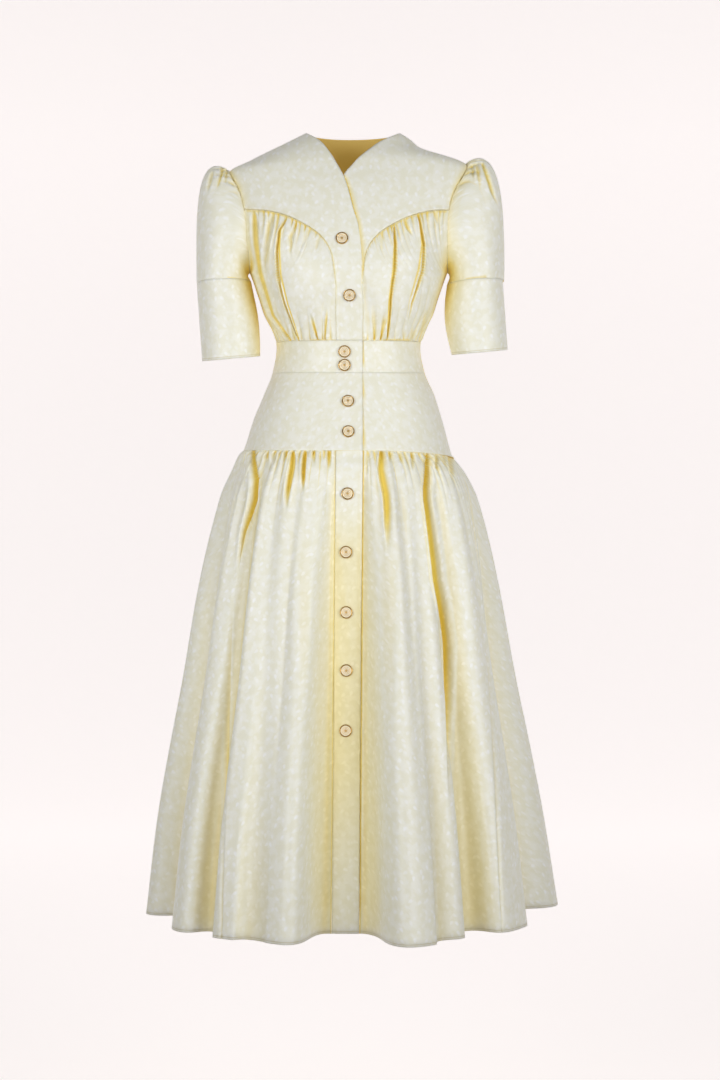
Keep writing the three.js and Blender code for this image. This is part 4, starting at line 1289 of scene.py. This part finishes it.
def shade_beside(node, points):
    """Where a panel lies in the shade of its neighbour or between two large folds."""
    x, z = points[..., 0], points[..., 2]
    between_folds = smooth(-500, -620, z) * smooth(-1150, -900, z)
    if node == "yoke_front_left":
        edge = np.array(NECK["right"][4:])[::-1]
        away = x - np.interp(z, edge[:, 1], edge[:, 0])
        return 0.5 * smooth(10, 0, away) * smooth(-20, -30, z) * smooth(-230, -150, z)
    if node == "skirt_band_right":
        return 0.3 * between_folds
    if node in ("skirt_front_right", "skirt_front_left"):
        line = BAND_SEAM if node == "skirt_front_right" else LAP_EDGE
        away = np.abs(x - line - BAND_LEAN * down_skirt(z))
        return (0.4 if node == "skirt_front_right" else 0.75) * smooth(3.5, 0.5, away)
    return 0.0


class DRESS_OT_painted_shade(Operator):
    """Paint shade into the cloth: mark how closed in each place of the cloth is, as painted shade that
    deepens its colour to gold
    """
    bl_idname = "dress.depth"
    bl_label = "Depth of the folds"

    def execute(self, context):
        if not PANELS:
            raise RuntimeError("There is no cloth yet: sew the panels first")
        corners, faces, count = [], [], 0
        for panel in PANELS:
            corners.append(panel["points"].reshape(-1, 3))
            faces.append(panel["faces"] + count)
            count += len(corners[-1])
        tree = BVHTree.FromPolygons(np.concatenate(corners).tolist(), np.concatenate(faces).tolist())
        for panel in PANELS:
            values = self.painted_shade(tree, panel).reshape(-1)
            mesh = panel["piece"].data
            # the inner faces of each shell take the wrong side's painted shade
            both = np.full(len(mesh.vertices), WRONG_SIDE)
            both[:len(values)] = values
            layer = mesh.attributes.new("painted_shade", "FLOAT", "POINT")
            layer.data.foreach_set("value", both.astype(np.float32))
        return {"FINISHED"}

    def painted_shade(self, tree, panel):
        points, closed = panel["points"], panel["closed"]
        high, wide = points.shape[:2]
        rows, columns = (np.unique(np.append(np.arange(0, size, 2), size - 1)) for size in (high, wide))
        normals = grid_normals(points, closed) * (-1 if panel["flip"] else 1)
        some = np.ix_(rows, columns)
        # painted shade: the cloth standing before each place, its hollows, its creases and the shade of its
        # neighbours, baked into an attribute that tints the colour
        values = enclosure(points[some].reshape(-1, 3), normals[some].reshape(-1, 3), tree)
        values = between(values.reshape(len(rows), len(columns)), rows, columns, (high, wide))
        seam = edge_distance(points, closed)
        values = values + 0.32 * np.clip(hollow(points, normals, closed), 0, 1)
        values = np.minimum(values, mix(0.28, 1.0, smooth(0.5, 4, seam)))
        crease_shade = creases_at(panel["node"], points[..., 0], points[..., 2])[1]
        values = np.maximum(values, crease_shade * before_middle(points[..., 1]))
        return values + shade_beside(panel["node"], points)


def front_point(x, z):
    """A point of the right front's outer face."""
    x, z = np.asarray(x, dtype=float), np.asarray(z, dtype=float)
    on_bodice = on_figure(on_front(x, z), z)
    on_band = on_skirt(skirt_angle_at(x, z), z)
    return np.where((z > HIP_SEAM["front"])[..., None], on_bodice, on_band)


def seat(x, z, radius, lift):
    """Where a button sits on the front: a matrix, with its back lift clear of the cloth."""
    middle = front_point(x, z)
    across = front_point(x + radius, z) - front_point(x - radius, z)
    up = front_point(x, z + radius) - front_point(x, z - radius)
    normal = np.cross(across, up)
    normal /= np.linalg.norm(normal)
    turns = np.linspace(0, 2 * math.pi, 12, endpoint=False)
    rim = front_point(x + radius * np.cos(turns), z + radius * np.sin(turns))
    rise = max(0.0, float(((rim - middle) @ normal).max()))
    place = Vector(((middle + normal * (lift + rise)) * MM).tolist())
    turn = Vector((0, 0, 1)).rotation_difference(Vector(normal.tolist()))
    return Matrix.Translation(place) @ turn.to_matrix().to_4x4()


class DRESS_OT_buttons(Operator):
    """Turn one ring-rimmed button and sew on eleven"""
    bl_idname = "dress.buttons"
    bl_label = "Buttons"

    def execute(self, context):
        pattern = self.turned_button()
        for number, (x, z) in enumerate(BUTTON_PLACES, start=1):
            mesh = pattern.data.copy()
            mesh.transform(seat(x, z, BUTTON_RADIUS, 0.3))
            button = link(mesh, f"button_{number}_metal")
            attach(button, "root")
            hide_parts(f"button_{number}")
        bpy.data.objects.remove(pattern)
        return {"FINISHED"}

    def turned_button(self):
        """A cup with a rolled rim, an inner ring and a low boss, its back at height 0."""
        bpy.ops.object.select_all(action="DESELECT")
        bpy.ops.mesh.primitive_cylinder_add(end_fill_type="NGON", **BUTTON_BLANK)
        button = bpy.context.object
        settings = bpy.context.scene.dress
        rim_colour = [channel * 0.8 for channel in settings.metal_colour]
        colours = (settings.metal_colour, settings.centre_colour, rim_colour)
        for colour, (name, metallic, polish) in zip(colours, METALS):
            button.data.materials.append(metal_material(name, colour, metallic, polish))
        bpy.ops.object.mode_set(mode="EDIT")
        bpy.ops.mesh.select_mode(type="FACE")
        bpy.ops.mesh.select_all(action="DESELECT")
        mesh = bmesh.from_edit_mesh(button.data)
        mesh.faces.ensure_lookup_table()
        top = max(mesh.faces, key=lambda face: face.calc_center_median().z)
        top.select_set(True)
        bmesh.update_edit_mesh(button.data)
        for inset, raise_by in BUTTON_PROFILE:
            bpy.ops.mesh.inset(thickness=inset)
            if raise_by:
                bpy.ops.transform.translate(value=(0, 0, raise_by))
        mesh = bmesh.from_edit_mesh(button.data)
        for face in mesh.faces:
            middle = face.calc_center_median()
            radius = math.hypot(middle.x, middle.y)
            pale = any(inner < radius < outer for inner, outer in PALE_RINGS)
            face.material_index = 2 if radius > RIM_FROM else int(pale)
        bmesh.update_edit_mesh(button.data)
        bpy.ops.object.mode_set(mode="OBJECT")
        round_edges = button.modifiers.new("rounded", "BEVEL")
        round_edges.width = 0.00016
        round_edges.segments = 2
        round_edges.limit_method = "ANGLE"
        bpy.ops.object.modifier_apply(modifier=round_edges.name)
        bpy.ops.object.shade_smooth_by_angle(angle=math.radians(50))
        bpy.ops.object.transform_apply(location=True, rotation=True, scale=True)
        return button


class DRESS_PT_panel(Panel):
    """Lists the dress's steps and settings"""
    bl_idname = "DRESS_PT_panel"
    bl_label = "Button-front dress"
    bl_space_type = "VIEW_3D"
    bl_region_type = "UI"
    bl_category = "Dress"

    def draw(self, context):
        for operator in OPERATORS:
            self.layout.operator(operator.bl_idname)
        for setting in DressSettings.__annotations__:
            self.layout.prop(context.scene.dress, setting)


OPERATORS = (
    DRESS_OT_stage,
    DRESS_OT_bodice,
    DRESS_OT_waist,
    DRESS_OT_skirt,
    DRESS_OT_sleeves,
    DRESS_OT_painted_shade,
    DRESS_OT_buttons,
)
CLASSES = (DressSettings, *OPERATORS, DRESS_PT_panel)


def register():
    for item in CLASSES:
        bpy.utils.register_class(item)
    bpy.types.Scene.dress = PointerProperty(type=DressSettings)


def unregister():
    del bpy.types.Scene.dress
    for item in reversed(CLASSES):
        bpy.utils.unregister_class(item)


def main():
    register()
    bpy.ops.dress.stage()
    bpy.ops.dress.bodice()
    bpy.ops.dress.waist()
    bpy.ops.dress.skirt()
    bpy.ops.dress.sleeves()
    bpy.ops.dress.depth()
    bpy.ops.dress.buttons()


if __name__ == "__main__":
    main()
